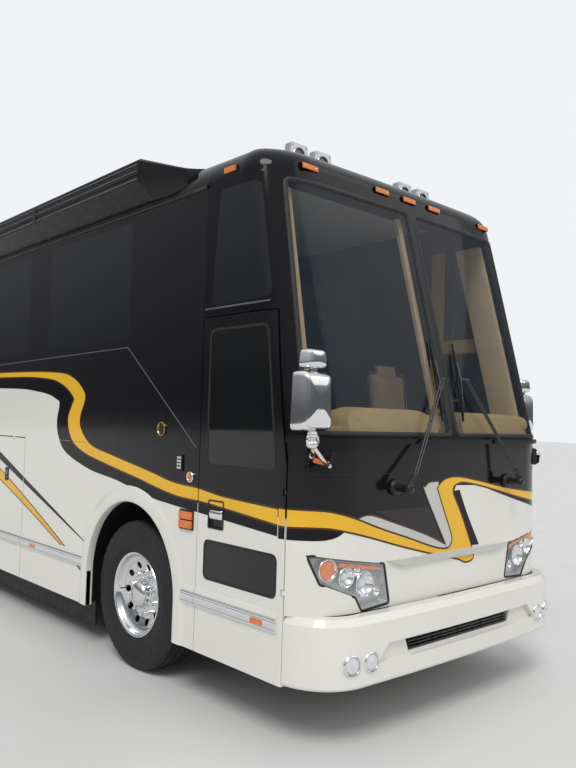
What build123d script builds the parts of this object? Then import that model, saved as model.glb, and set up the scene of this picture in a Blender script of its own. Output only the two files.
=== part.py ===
"""A three-axle motorhome on a coach shell, in millimetres.

+Z is up, the front faces -Y and the kerb side, which has the entry door, is at -X.
The origin is on the ground, midway along the overall length and on the centre plane.
Longitudinal sizes are given as distances behind the front axle.
"""
import math
import os

from build123d import *

os.makedirs("parts", exist_ok=True)

# Main sizes of the coach
BODY_WIDTH = 2590.0
ROOF_HEIGHT = 3550.0
WHEELBASE = 8050.0
TAG_SPREAD = 1300.0
BODY_FRONT = -1885.0  # front face of the body, behind the front axle
REAR_OVERHANG = 3730.0  # from the drive axle to the body's rear face
BODY_REAR = WHEELBASE + REAR_OVERHANG
REAR_BUMPER_REACH = 80.0
MIRROR_REACH = 170.0  # how far each mirror stands out past the body's side
WALL = 45.0
HALF_W = BODY_WIDTH / 2
INNER_X = HALF_W - WALL

# Form of the shell
FRONT_BOW = 15.0  # sweep of the nearly flat middle of the front
CORNER_X = HALF_W - 395.0  # where each front corner's curve begins, across the coach
CORNER_R = 490.0
CREASE_R = 100.0  # rounding where the corner's curve meets the flat side, up to the sill
CREASE_TOP_R = 225.0  # the same rounding at the roof
REAR_CORNER_R = 190.0
ROOF_EDGE_R = 190.0
WINDSCREEN_RAKE = 0.26  # how far the screen leans back for each unit of height
REAR_LEAN = 60.0
SKIRT_Z = 345.0
BELT_Z = 1607.0
SILL_Z = 1745.0
GUTTER_Z = ROOF_HEIGHT - ROOF_EDGE_R
SHUT_GAP = 7.0
GLASS_T = 8.0
GLASS_GAP = 0.3
HINGE_GAP = 9.0  # gap along a door's hinged edge
HINGE_IN = 7.0  # how far each hinge pin lies in from the door's face and edge
HINGE_PIN_R = 4.0
LUG_W = 26.0

# Wheels, axles and steering
TYRE_R = 532.0
TYRE_W = 300.0
BEAD_R = 286.0
RIM_R = 300.0
WHEEL_X = HALF_W - 200.0
TWIN_SPACING = 345.0
ARCH_R_FRONT = 600.0
ARCH_R_REAR = 580.0
KINGPIN_X = WHEEL_X - 135.0
KINGPIN_R = 22.0
SPINDLE_R = 45.0
STEER_ARM = 190.0
RUNNING_GAP = 0.1

# Levels inside
DECK_Z = 1380.0
DECK_T = 50.0
COCKPIT_Z = 1100.0

# The front bumper is the foremost point and the rear bumper the rearmost
BUMPER_FRONT = -2005.0
OVERALL_LENGTH = BODY_REAR + REAR_BUMPER_REACH - BUMPER_FRONT
FRONT_AXLE_Y = -BUMPER_FRONT - OVERALL_LENGTH / 2


def aft(distance):
    """The row's y of a point that lies this far behind the front axle."""
    return FRONT_AXLE_Y + distance


def block(x, y, z, mode=Mode.ADD):
    """A box between two limits on each axis."""
    with Locations(((x[0] + x[1]) / 2, (y[0] + y[1]) / 2, (z[0] + z[1]) / 2)):
        Box(abs(x[1] - x[0]), abs(y[1] - y[0]), abs(z[1] - z[0]), mode=mode)


def rod(start, end, radius, mode=Mode.ADD):
    """A round bar between two points."""
    a, b = Vector(*start), Vector(*end)
    with Locations(Plane(origin=(a + b) * 0.5, z_dir=b - a)):
        Cylinder(radius, (b - a).length, mode=mode)


def upright(x, y, z_low, z_high, radius, mode=Mode.ADD):
    """An upright round bar."""
    rod((x, y, z_low), (x, y, z_high), radius, mode)


def bay_lug_places(n):
    """Where the two hinge lugs of one bay door stand along the coach."""
    return (aft(BAY_EDGES[n] + BAY_LUG_INSET), aft(BAY_EDGES[n + 1] - BAY_LUG_INSET))


def save(part, name):
    """Writes one piece as the node of that name."""
    part.label = name
    export_step(part, f"parts/{name}.step")


# The shell: one master form, from which the panels are split


def body_plan(z, inset):
    """The body's outline seen from above at a height, moved in by a wall's thickness."""
    half = HALF_W - inset
    rise = max(0.0, z - SILL_Z)
    front = aft(BODY_FRONT) + inset + rise * WINDSCREEN_RAKE
    rear = aft(BODY_REAR) - inset - REAR_LEAN * rise / (ROOF_HEIGHT - SILL_Z)
    radius = CORNER_R - inset
    centre_y = front + FRONT_BOW + radius
    mid_x = (CORNER_X + half) / 2
    mid_y = centre_y - math.sqrt(radius**2 - (mid_x - CORNER_X) ** 2)
    side_y = centre_y - math.sqrt(radius**2 - (half - CORNER_X) ** 2)
    with BuildSketch(Plane.XY.offset(z)) as plan:
        with BuildLine():
            ThreePointArc((-CORNER_X, front + FRONT_BOW), (0, front), (CORNER_X, front + FRONT_BOW))
            for side in (-1, 1):
                ThreePointArc(
                    (side * CORNER_X, front + FRONT_BOW), (side * mid_x, mid_y), (side * half, side_y)
                )
            Polyline((half, side_y), (half, rear), (-half, rear), (-half, side_y))
        make_face()
        creases = plan.vertices().filter_by(lambda v: abs(v.X) > half - 1).group_by(Axis.Y)[0]
        softened = (CREASE_TOP_R - CREASE_R) * rise / (ROOF_HEIGHT - SILL_Z)
        fillet(creases, CREASE_R + softened - inset / 2)
        fillet(plan.vertices().group_by(Axis.Y)[-1], REAR_CORNER_R - inset)
    return plan


def body_form(inset, bottom):
    """The whole body as one solid, at a wall's thickness inside the skin."""
    top = ROOF_HEIGHT - inset
    with BuildPart() as form:
        add(body_plan(bottom, inset).sketch)
        extrude(amount=SILL_Z - bottom)
        loft([body_plan(SILL_Z, inset).sketch, body_plan(top, inset).sketch], ruled=True)
        fillet(form.faces().sort_by(Axis.Z)[-1].edges(), ROOF_EDGE_R - inset)
    return form.part


OUTER = body_form(0.0, SKIRT_Z)
INNER = body_form(WALL, SKIRT_Z - 100)
with BuildPart() as shell:
    add(OUTER)
    add(INNER, mode=Mode.SUBTRACT)
with BuildPart() as glass_skin:
    add(OUTER)
    add(body_form(GLASS_T, SKIRT_Z - 100), mode=Mode.SUBTRACT)


def side_shape(points, x_low, x_high, corner=0.0, inset=0.0, mode=Mode.ADD):
    """A prism across the coach from an outline of (behind the front axle, height)."""
    with BuildSketch(Plane.YZ.offset(x_low)) as outline:
        with BuildLine():
            Polyline(*[(aft(y), z) for y, z in points], close=True)
        make_face()
        if corner:
            fillet(outline.vertices(), corner)
        if inset:
            offset(amount=-inset, kind=Kind.INTERSECTION, mode=Mode.REPLACE)
    extrude(outline.sketch, amount=x_high - x_low, mode=mode)


def front_shape(points, y_low, y_high, corner=0.0, inset=0.0, mode=Mode.ADD):
    """A prism along the coach from an outline of (x, height), between two distances behind the axle."""
    with BuildSketch(Plane.XZ.offset(-aft(y_high))) as outline:
        with BuildLine():
            Polyline(*points, close=True)
        make_face()
        if corner:
            fillet(outline.vertices(), corner)
        if inset:
            offset(amount=-inset, kind=Kind.INTERSECTION, mode=Mode.REPLACE)
    extrude(outline.sketch, amount=y_high - y_low, mode=mode)


# Where the panels meet, as distances behind the front axle
CAP_SEAM = -1668.0
DOOR_REAR = -835.0
DOOR_TOP = 2470.0
WALL_FRONT = DOOR_REAR + SHUT_GAP
BAY_COUNT = 3
BAY_SPAN = (1870.0, WHEELBASE - ARCH_R_REAR - 260.0)
BAY_EDGES = [BAY_SPAN[0] + (BAY_SPAN[1] - BAY_SPAN[0]) * n / BAY_COUNT for n in range(BAY_COUNT + 1)]
REAR_SEAM = BODY_REAR - 630.0
MASK_BOTTOM = 738.0
LEAN_FROM_Z = 1560.0
DOOR_FRONT_LOW = CAP_SEAM + HINGE_GAP
DOOR_FRONT_TOP = -1515.0
REACH = BODY_WIDTH

# Hinge lines, and where their lugs stand along them
BAY_HINGE = (HALF_W - HINGE_IN, BELT_Z - HINGE_GAP - HINGE_IN)
BAY_LUG_INSET = 260.0
ENTRY_HINGE = (-HALF_W + HINGE_IN, aft(DOOR_FRONT_LOW + HINGE_IN))
ENTRY_LUGS = (860.0, 1420.0)
ENGINE_DOOR_HALF = HALF_W - 695.0
ENGINE_DOOR_Z = (720.0, 1480.0)
ENGINE_HINGE = (aft(BODY_REAR - HINGE_IN), ENGINE_DOOR_Z[1] - HINGE_GAP - HINGE_IN)
ENGINE_LUGS = (-ENGINE_DOOR_HALF + 150.0, ENGINE_DOOR_HALF - 150.0)
NOTCH = HINGE_IN + 6.0  # reach of the clear space round each lug, from the pin

# The entry door's outline, lower rear corner first
ENTRY_DOOR = [
    (DOOR_REAR, SKIRT_Z),
    (DOOR_REAR, DOOR_TOP),
    (DOOR_FRONT_TOP, DOOR_TOP),
    (DOOR_FRONT_LOW, LEAN_FROM_Z),
    (DOOR_FRONT_LOW, SKIRT_Z),
]
# The opening that it shuts, with the gap all round
DOORWAY = [
    (WALL_FRONT, SKIRT_Z - SHUT_GAP),
    (WALL_FRONT, DOOR_TOP + SHUT_GAP),
    (DOOR_FRONT_TOP - SHUT_GAP, DOOR_TOP + SHUT_GAP),
    # Wider here, where the leaning edge swings past the pillar
    (CAP_SEAM, LEAN_FROM_Z + 60),
    (CAP_SEAM, SKIRT_Z - SHUT_GAP),
]

# Windows, as (rear edge, front edge) and (sill, head)
WINDOW_HEAD = GUTTER_Z - 90.0
WINDOW_SILL = WINDOW_HEAD - 890.0
QUARTER_SILL = DOOR_TOP + 75.0
QUARTER_HEAD = GUTTER_Z - 70.0
QUARTER_WINDOW = [(-905.0, QUARTER_SILL), (-965.0, QUARTER_HEAD), (-1318.0, QUARTER_HEAD), (-1482.0, QUARTER_SILL)]
DRIVER_WINDOW = [(-905.0, 1850.0), (-905.0, 2440.0), (-1490.0, 2440.0), (-1590.0, 1850.0)]
SIDE_WINDOWS = [
    # front edge, rear edge
    (110.0, 1480.0),
    (1900.0, 3500.0),
    (4700.0, 6100.0),
    (7900.0, 9300.0),
]
WINDOW_R = 60.0
SCREEN_HALF = (HALF_W - 69.0, HALF_W - 155.0)  # at the foot and at the head
SCREEN_POST = 32.0
SCREEN_HEAD = ROOF_HEIGHT - 240.0
SCREEN_SILL = SILL_Z + 12.0
SCREEN_R = 45.0


def window_box(front, rear):
    """A side window's outline from its two ends."""
    return [(front, WINDOW_SILL), (front, WINDOW_HEAD), (rear, WINDOW_HEAD), (rear, WINDOW_SILL)]


def screen_outline(side):
    """One half of the windscreen in the front view, wider at the foot than at the head."""
    low, high = SCREEN_SILL, SCREEN_HEAD
    foot, head = SCREEN_HALF
    return [(side * SCREEN_POST, low), (side * foot, low), (side * head, high), (side * SCREEN_POST, high)]


def skin_front(x, z):
    """How far behind the front axle the front of the skin lies, at a place in the front view."""
    lean = max(0.0, z - SILL_Z) * WINDSCREEN_RAKE
    if abs(x) <= CORNER_X:
        return BODY_FRONT + FRONT_BOW * (x / CORNER_X) ** 2 + lean
    return BODY_FRONT + FRONT_BOW + CORNER_R - math.sqrt(CORNER_R**2 - (abs(x) - CORNER_X) ** 2) + lean


BROW_MARKERS = (-HALF_W + 329.0, -294.0, 0.0, 294.0, HALF_W - 329.0)
BROW_MARKER_Z = (ROOF_HEIGHT - 157.0, ROOF_HEIGHT - 122.0)

# The upper front: pillars, header and the windscreen's surround
with BuildPart() as front_frame:
    add(shell.part)
    block((-REACH, REACH), (aft(-3000), aft(WALL_FRONT)), (BELT_Z, ROOF_HEIGHT + 10), mode=Mode.INTERSECT)
    block((-REACH, REACH), (aft(-3000), aft(CAP_SEAM)), (BELT_Z, SILL_Z), mode=Mode.SUBTRACT)
    side_shape(DOORWAY, -REACH, -HALF_W / 2, mode=Mode.SUBTRACT)
    for side in (-1, 1):
        front_shape(screen_outline(side), -2100, -1100, SCREEN_R, mode=Mode.SUBTRACT)
        side_shape(QUARTER_WINDOW, side * HALF_W - 200, side * HALF_W + 200, 50, mode=Mode.SUBTRACT)
    side_shape(DRIVER_WINDOW, HALF_W - 200, HALF_W + 200, 60, mode=Mode.SUBTRACT)
    low, high = BROW_MARKER_Z
    for x in BROW_MARKERS:
        face = skin_front(x, low)
        front_shape([(x - 66, low), (x + 74, low), (x + 66, high), (x - 74, high)], face - 8, face + 40)
save(front_frame.part, "front_frame")

with BuildPart() as windscreen:
    for side in (-1, 1):
        front_shape(screen_outline(side), -2100, -1100, SCREEN_R, GLASS_GAP)
    add(glass_skin.part, mode=Mode.INTERSECT)
save(windscreen.part, "windscreen")

# Headlamp outline in the front view, mirrored for the other side
HEADLAMP = [
    # inward from the body's side, height
    (78.0, 1078.0),
    (609.0, 995.0),
    (661.0, 757.0),
    (423.0, 742.0),
    (369.0, 826.0),
    (145.0, 914.0),
]
HEADLAMP_LENSES = (
    # inward from the body's side, height, radius
    (178.0, 983.0, 62.0),
    (295.0, 946.0, 48.0),
    (449.0, 898.0, 64.0),
)
COWL_LIP = 26.0
NOSE_LEDGE = [(-665.0, 1010.0), (665.0, 1010.0), (530.0, 965.0), (-530.0, 965.0)]


def headlamp_outline(side):
    """The headlamp's outline on one side."""
    return [(side * (HALF_W - inward), z) for inward, z in HEADLAMP]


# The lower front panel, between the bumper and the windscreen
with BuildPart() as front_mask:
    add(shell.part)
    block((-REACH, REACH), (aft(-3000), aft(CAP_SEAM)), (MASK_BOTTOM, SILL_Z), mode=Mode.INTERSECT)
    for side in (-1, 1):
        front_shape(headlamp_outline(side), -2100, -1600, mode=Mode.SUBTRACT)
    with BuildSketch(Plane.XY.offset(SILL_Z - 42)) as lip:
        add(body_plan(SILL_Z - 42, -COWL_LIP).sketch)
        add(body_plan(SILL_Z - 42, WALL / 2).sketch, mode=Mode.SUBTRACT)
    extrude(amount=30)
    block((-REACH, REACH), (aft(CAP_SEAM), aft(BODY_REAR + 100)), (0, ROOF_HEIGHT), mode=Mode.SUBTRACT)
    front_shape(NOSE_LEDGE, BODY_FRONT - 12, BODY_FRONT + 25)
    # Hinge lugs that carry the entry door
    for z in ENTRY_LUGS:
        upright(*ENTRY_HINGE, z - LUG_W / 2, z + LUG_W / 2, HINGE_IN)
        block((-HALF_W, ENTRY_HINGE[0] + HINGE_IN), (aft(CAP_SEAM), ENTRY_HINGE[1]), (z - LUG_W / 2, z + LUG_W / 2))
        upright(*ENTRY_HINGE, z - LUG_W / 2, z + LUG_W / 2, HINGE_PIN_R + RUNNING_GAP, mode=Mode.SUBTRACT)
save(front_mask.part, "front_mask")

# The bumper wraps round the front below the lower panel
BUMPER_BOW = 25.0
BUMPER_CORNER_X = HALF_W - 345.0
BUMPER_CORNER_MID = (HALF_W - 95.0, 131.0)  # across, and back from the bumper's front
BUMPER_DEPTH = 95.0
BUMPER_BOTTOM = 352.0
GRILLE_HALF = HALF_W - 720.0
GRILLE_Z = (480.0, 560.0)
FOG_LAMPS = (HALF_W - 390.0, HALF_W - 248.0)
FOG_Z = 492.0
FOG_FRONT = (-1905.0, -1885.0)  # faces of the inner and the outer fog lamp
FOG_R = 52.0
FOG_DEPTH = 70.0


def bumper_plan(inset):
    """The front bumper's outline seen from above."""
    half = HALF_W - inset
    front = aft(BUMPER_FRONT) + inset
    shoulder = (BUMPER_CORNER_X - inset / 2, front + BUMPER_BOW)
    mid = (BUMPER_CORNER_MID[0] - inset * 0.7, front - inset * 0.3 + BUMPER_CORNER_MID[1])
    with BuildSketch(Plane.XY.offset(BUMPER_BOTTOM)) as plan:
        with BuildLine():
            ThreePointArc((-shoulder[0], shoulder[1]), (0, front), shoulder)
            for side in (-1, 1):
                ThreePointArc(
                    (side * shoulder[0], shoulder[1]), (side * mid[0], mid[1]), (side * half, aft(CAP_SEAM))
                )
            Polyline((half, aft(CAP_SEAM)), (half, aft(0)), (-half, aft(0)), (-half, aft(CAP_SEAM)))
        make_face()
    return plan


with BuildPart() as bumper_front:
    add(bumper_plan(0).sketch)
    extrude(amount=MASK_BOTTOM - BUMPER_BOTTOM)
    top_edges = bumper_front.faces().sort_by(Axis.Z)[-1].edges().sort_by(Axis.Y)[:3]
    chamfer(top_edges, 38, 30)
    low_edges = bumper_front.faces().sort_by(Axis.Z)[0].edges().sort_by(Axis.Y)[:3]
    fillet(low_edges, 25)
    add(bumper_plan(BUMPER_DEPTH).sketch.moved(Location((0, 0, -10))))
    extrude(amount=MASK_BOTTOM - BUMPER_BOTTOM + 20, mode=Mode.SUBTRACT)
    block((-REACH, REACH), (aft(CAP_SEAM), aft(100)), (0, BELT_Z), mode=Mode.SUBTRACT)
    # The recess round the air intake, and the intake itself
    low, high = GRILLE_Z
    recess = (GRILLE_HALF + 285, GRILLE_HALF + 185)
    recess_outline = [(-recess[0], low - 12), (recess[0], low - 12), (recess[1], high + 12), (-recess[1], high + 12)]
    front_shape(recess_outline, BUMPER_FRONT - 40, BUMPER_FRONT + 48, mode=Mode.SUBTRACT)
    foot = GRILLE_HALF - 30
    intake_outline = [(-foot, low), (foot, low), (GRILLE_HALF, high), (-GRILLE_HALF, high)]
    front_shape(intake_outline, BUMPER_FRONT - 40, BUMPER_FRONT + 300, mode=Mode.SUBTRACT)
    for x in FOG_LAMPS:
        for side in (-1, 1):
            with Locations(Plane((side * x, aft(-1760), FOG_Z), z_dir=(0, -1, 0))):
                Cylinder(FOG_R + GLASS_GAP, 400, mode=Mode.SUBTRACT)
save(bumper_front.part, "bumper_front")

with BuildPart() as front_lamps:
    for side in (-1, 1):
        front_shape(headlamp_outline(side), -2100, -1600, inset=GLASS_GAP)
    add(shell.part, mode=Mode.INTERSECT)
    for inward, z, radius in HEADLAMP_LENSES:
        for side in (-1, 1):
            x = side * (HALF_W - inward)
            face = skin_front(x, z)
            rod((x, aft(BUMPER_FRONT), z), (x, aft(face + 24), z), radius, mode=Mode.SUBTRACT)
            rod((x, aft(face + 12), z), (x, aft(face + 30), z), radius * 0.6)
    for x, face in zip(FOG_LAMPS, FOG_FRONT):
        for side in (-1, 1):
            rod((side * x, aft(face), FOG_Z), (side * x, aft(face + FOG_DEPTH), FOG_Z), FOG_R)
save(front_lamps.part, "front_lamps")

# Slats of the intake in the bumper, and the uprights that tie them
SLATS = 4
GRILLE_FRONT = BUMPER_FRONT + 55.0
with BuildPart() as intake_grille:
    pitch = (GRILLE_Z[1] - GRILLE_Z[0]) / SLATS
    slat_half = GRILLE_HALF - 32
    for n in range(SLATS):
        z = GRILLE_Z[0] + pitch * (n + 0.5)
        block((-slat_half, slat_half), (aft(GRILLE_FRONT), aft(GRILLE_FRONT + 25)), (z - 4, z + 4))
    for share in (-0.98, -0.49, 0.0, 0.49, 0.98):
        x = share * (slat_half - 8)
        block((x - 6, x + 6), (aft(GRILLE_FRONT + 10), aft(GRILLE_FRONT + 30)), (GRILLE_Z[0] + 0.3, GRILLE_Z[1] - 0.3))
save(intake_grille.part, "intake_grille")

# Side walls above the belt, with their windows
with BuildPart() as side_walls:
    add(shell.part)
    block((-REACH, REACH), (aft(WALL_FRONT), aft(REAR_SEAM)), (BELT_Z, GUTTER_Z), mode=Mode.INTERSECT)
    for front, rear in SIDE_WINDOWS:
        side_shape(window_box(front, rear), -REACH, REACH, WINDOW_R, mode=Mode.SUBTRACT)
    # Hinge lugs that carry the bay doors
    hinge_x, hinge_z = BAY_HINGE
    for side in (-1, 1):
        for n in range(len(BAY_EDGES) - 1):
            for y in bay_lug_places(n):
                ends = ((side * hinge_x, y - LUG_W / 2, hinge_z), (side * hinge_x, y + LUG_W / 2, hinge_z))
                rod(*ends, HINGE_IN)
                block((side * (hinge_x - HINGE_IN), side * HALF_W), (y - LUG_W / 2, y + LUG_W / 2), (hinge_z, BELT_Z))
                rod(*ends, HINGE_PIN_R + RUNNING_GAP, mode=Mode.SUBTRACT)
save(side_walls.part, "side_walls")

with BuildPart() as window_glass:
    for front, rear in SIDE_WINDOWS:
        side_shape(window_box(front, rear), -REACH, REACH, WINDOW_R, GLASS_GAP)
    side_shape(QUARTER_WINDOW, -REACH, REACH, 50, GLASS_GAP)
    side_shape(DRIVER_WINDOW, 0, REACH, 60, GLASS_GAP)
    add(glass_skin.part, mode=Mode.INTERSECT)
save(window_glass.part, "window_glass")

with BuildPart() as roof:
    add(shell.part)
    block((-REACH, REACH), (aft(WALL_FRONT), aft(REAR_SEAM)), (GUTTER_Z, ROOF_HEIGHT + 10), mode=Mode.INTERSECT)
save(roof.part, "roof")

# Fixed panels below the belt, with their wheel arches
ARCH_TOP = 1207.0


def arch(front, rear, radius, x_low, x_high, mode=Mode.SUBTRACT):
    """An arch opening, upright at both ends and round at its upper corners."""
    points = [(front, SKIRT_Z - 20), (front, ARCH_TOP), (rear, ARCH_TOP), (rear, SKIRT_Z - 20)]
    with BuildSketch(Plane.YZ.offset(x_low)) as outline:
        with BuildLine():
            Polyline(*[(aft(y), z) for y, z in points], close=True)
        make_face()
        fillet(outline.vertices().group_by(Axis.Y)[-1], radius - 1)
    extrude(outline.sketch, amount=x_high - x_low, mode=mode)


def trim_strip(side, front, rear):
    """The bright strip low on one side, between two distances behind the front axle."""
    low, high = TRIM_Z
    front_shape(
        [
            (side * (HALF_W - 5), low),
            (side * (HALF_W + TRIM_PROUD), low + 6),
            (side * (HALF_W + TRIM_PROUD), high - 6),
            (side * (HALF_W - 5), high + 10),
        ],
        front,
        rear,
    )


def arch_lip(front, rear, radius, side):
    """The flared lip round one arch opening, proud of the panel."""
    low = SKIRT_Z
    outer = [(front - LIP_W, low), (front - LIP_W, ARCH_TOP + LIP_W), (rear + LIP_W, ARCH_TOP + LIP_W), (rear + LIP_W, low)]
    ends = (side * (HALF_W - 5), side * (HALF_W + LIP_PROUD))
    with BuildSketch(Plane.YZ.offset(min(ends))) as outline:
        with BuildLine():
            Polyline(*[(aft(y), z) for y, z in outer], close=True)
        make_face()
        fillet(outline.vertices().group_by(Axis.Y)[-1], radius + LIP_W - 1)
    extrude(outline.sketch, amount=abs(ends[1] - ends[0]))


TRIM_Z = (627.0, 706.0)
TRIM_PROUD = 10.0
LIP_W = 80.0
LIP_PROUD = 10.0
LOWER_SEAM = BAY_EDGES[0] - SHUT_GAP
REAR_PANEL_FRONT = BAY_EDGES[-1] + SHUT_GAP
with BuildPart() as fenders:
    add(shell.part)
    block((-REACH, REACH), (aft(CAP_SEAM), aft(LOWER_SEAM)), (0, BELT_Z), mode=Mode.INTERSECT)
    block((-REACH, 0), (aft(CAP_SEAM - 10), aft(WALL_FRONT)), (0, BELT_Z + 10), mode=Mode.SUBTRACT)
    for side, start in ((-1, WALL_FRONT), (1, CAP_SEAM)):
        trim_strip(side, start, -ARCH_R_FRONT)
        trim_strip(side, ARCH_R_FRONT, LOWER_SEAM)
        arch_lip(-ARCH_R_FRONT, ARCH_R_FRONT, ARCH_R_FRONT, side)
    arch(-ARCH_R_FRONT, ARCH_R_FRONT, ARCH_R_FRONT, -REACH, REACH)
save(fenders.part, "fenders")

with BuildPart() as rear_panels:
    add(shell.part)
    block((-REACH, REACH), (aft(REAR_PANEL_FRONT), aft(REAR_SEAM)), (0, BELT_Z), mode=Mode.INTERSECT)
    rear_arch = (WHEELBASE - ARCH_R_REAR, WHEELBASE + TAG_SPREAD + ARCH_R_REAR)
    for side in (-1, 1):
        trim_strip(side, REAR_PANEL_FRONT, rear_arch[0])
        trim_strip(side, rear_arch[1], REAR_SEAM)
        arch_lip(*rear_arch, ARCH_R_REAR, side)
    arch(*rear_arch, ARCH_R_REAR, -REACH, REACH)
save(rear_panels.part, "rear_panels")

for side, name in ((-1, "right"), (1, "left")):
    for n in range(len(BAY_EDGES) - 1):
        with BuildPart() as bay_door:
            block(
                (side * INNER_X, side * HALF_W),
                (aft(BAY_EDGES[n] + SHUT_GAP / 2), aft(BAY_EDGES[n + 1] - SHUT_GAP / 2)),
                (SKIRT_Z, BELT_Z - HINGE_GAP),
            )
            trim_strip(side, BAY_EDGES[n] + SHUT_GAP / 2, BAY_EDGES[n + 1] - SHUT_GAP / 2)
            for y in bay_lug_places(n):
                block(
                    (side * (hinge_x - NOTCH), side * (HALF_W + 1)),
                    (y - LUG_W / 2 - 6, y + LUG_W / 2 + 6),
                    (hinge_z - NOTCH, BELT_Z),
                    mode=Mode.SUBTRACT,
                )
                rod((side * hinge_x, y - LUG_W, hinge_z), (side * hinge_x, y + LUG_W, hinge_z), HINGE_PIN_R)
        save(bay_door.part, f"bay_door_{name}_{n + 1}")

# Entry door, with its upper window and the low window beside the steps
DOOR_WINDOW = [(-915.0, 1530.0), (-915.0, 2390.0), (-1470.0, 2390.0), (-1575.0, 1530.0)]
DOOR_HANDLE = (DOOR_REAR - 190.0, 1225.0)
STEP_WINDOW = [(-915.0, 820.0), (-915.0, 1055.0), (-1595.0, 1055.0), (-1595.0, 820.0)]
with BuildPart() as entry_door:
    side_shape(ENTRY_DOOR, -HALF_W, -INNER_X)
    side_shape(DOOR_WINDOW, -HALF_W - 10, -INNER_X + 10, 60, mode=Mode.SUBTRACT)
    side_shape(STEP_WINDOW, -HALF_W - 10, -INNER_X + 10, 40, mode=Mode.SUBTRACT)
    add(OUTER, mode=Mode.INTERSECT)
    trim_strip(-1, DOOR_FRONT_LOW + 40, DOOR_REAR)
    # Recess of the handle, with its bar
    handle_y, handle_z = DOOR_HANDLE
    block(
        (-HALF_W - 1, -HALF_W + 16),
        (aft(handle_y - 70), aft(handle_y + 70)),
        (handle_z - 80, handle_z + 80),
        mode=Mode.SUBTRACT,
    )
    block((-HALF_W, -HALF_W + 9), (aft(handle_y - 70), aft(handle_y + 70)), (handle_z - 22, handle_z + 22))
    for z in ENTRY_LUGS:
        block(
            (-HALF_W - 1, ENTRY_HINGE[0] + NOTCH),
            (aft(CAP_SEAM), ENTRY_HINGE[1] + NOTCH),
            (z - LUG_W / 2 - 6, z + LUG_W / 2 + 6),
            mode=Mode.SUBTRACT,
        )
        upright(*ENTRY_HINGE, z - LUG_W, z + LUG_W, HINGE_PIN_R)
save(entry_door.part, "entry_door")
with BuildPart() as door_glass:
    side_shape(DOOR_WINDOW, -HALF_W, -HALF_W + GLASS_T, 60, GLASS_GAP)
    side_shape(STEP_WINDOW, -HALF_W, -HALF_W + GLASS_T, 40, GLASS_GAP)
save(door_glass.part, "door_glass")

# Rear cap, its engine door, lamps and bumper
REAR_BUMPER_TOP = 640.0
TAIL_X = (HALF_W - 415.0, HALF_W - 215.0)
TAIL_Z = (900.0, 1450.0)
RECEIVER_Z = SKIRT_Z - 45.0  # it hangs just below the bumper
RECEIVER_OUT = 32.0
RECEIVER_IN = 25.5
RECEIVER_PIN_R = 8.0
with BuildPart() as rear_cap:
    add(shell.part)
    block((-REACH, REACH), (aft(REAR_SEAM), aft(BODY_REAR + 100)), (REAR_BUMPER_TOP, ROOF_HEIGHT + 10), mode=Mode.INTERSECT)
    block(
        (-ENGINE_DOOR_HALF, ENGINE_DOOR_HALF),
        (aft(BODY_REAR - 200), aft(BODY_REAR + 100)),
        ENGINE_DOOR_Z,
        mode=Mode.SUBTRACT,
    )
    for side in (-1, 1):
        block((side * TAIL_X[0], side * TAIL_X[1]), (aft(BODY_REAR - 200), aft(BODY_REAR + 100)), TAIL_Z, mode=Mode.SUBTRACT)
    # Hinge lugs that carry the engine door
    hinge_y, hinge_z = ENGINE_HINGE
    for x in ENGINE_LUGS:
        ends = ((x - LUG_W / 2, hinge_y, hinge_z), (x + LUG_W / 2, hinge_y, hinge_z))
        rod(*ends, HINGE_IN)
        block((x - LUG_W / 2, x + LUG_W / 2), (hinge_y - HINGE_IN, aft(BODY_REAR)), (hinge_z, ENGINE_DOOR_Z[1]))
        rod(*ends, HINGE_PIN_R + RUNNING_GAP, mode=Mode.SUBTRACT)
save(rear_cap.part, "rear_cap")

with BuildPart() as engine_door:
    block(
        (-ENGINE_DOOR_HALF + SHUT_GAP, ENGINE_DOOR_HALF - SHUT_GAP),
        (aft(BODY_REAR - WALL), aft(BODY_REAR)),
        (ENGINE_DOOR_Z[0] + SHUT_GAP, ENGINE_DOOR_Z[1] - HINGE_GAP),
    )
    for x in ENGINE_LUGS:
        block(
            (x - LUG_W / 2 - 6, x + LUG_W / 2 + 6),
            (hinge_y - NOTCH, aft(BODY_REAR + 1)),
            (hinge_z - NOTCH, ENGINE_DOOR_Z[1]),
            mode=Mode.SUBTRACT,
        )
        rod((x - LUG_W, hinge_y, hinge_z), (x + LUG_W, hinge_y, hinge_z), HINGE_PIN_R)
    for n in range(6):
        z = ENGINE_DOOR_Z[0] + 130 + n * 90
        vent_half = ENGINE_DOOR_HALF - 160
        block((-vent_half, vent_half), (aft(BODY_REAR - 60), aft(BODY_REAR + 10)), (z, z + 40), mode=Mode.SUBTRACT)
save(engine_door.part, "engine_door")

with BuildPart() as tail_lamps:
    for side in (-1, 1):
        block(
            (side * (TAIL_X[0] + GLASS_GAP), side * (TAIL_X[1] - GLASS_GAP)),
            (aft(BODY_REAR - WALL), aft(BODY_REAR + 12)),
            (TAIL_Z[0] + GLASS_GAP, TAIL_Z[1] - GLASS_GAP),
        )
        lamp_x = side * (TAIL_X[0] + TAIL_X[1]) / 2
        lamp_r = (TAIL_X[1] - TAIL_X[0]) * 0.42
        for share in (0.17, 0.5, 0.83):
            z = TAIL_Z[0] + share * (TAIL_Z[1] - TAIL_Z[0])
            rod((lamp_x, aft(BODY_REAR), z), (lamp_x, aft(BODY_REAR + 24), z), lamp_r)
save(tail_lamps.part, "tail_lamps")

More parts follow.
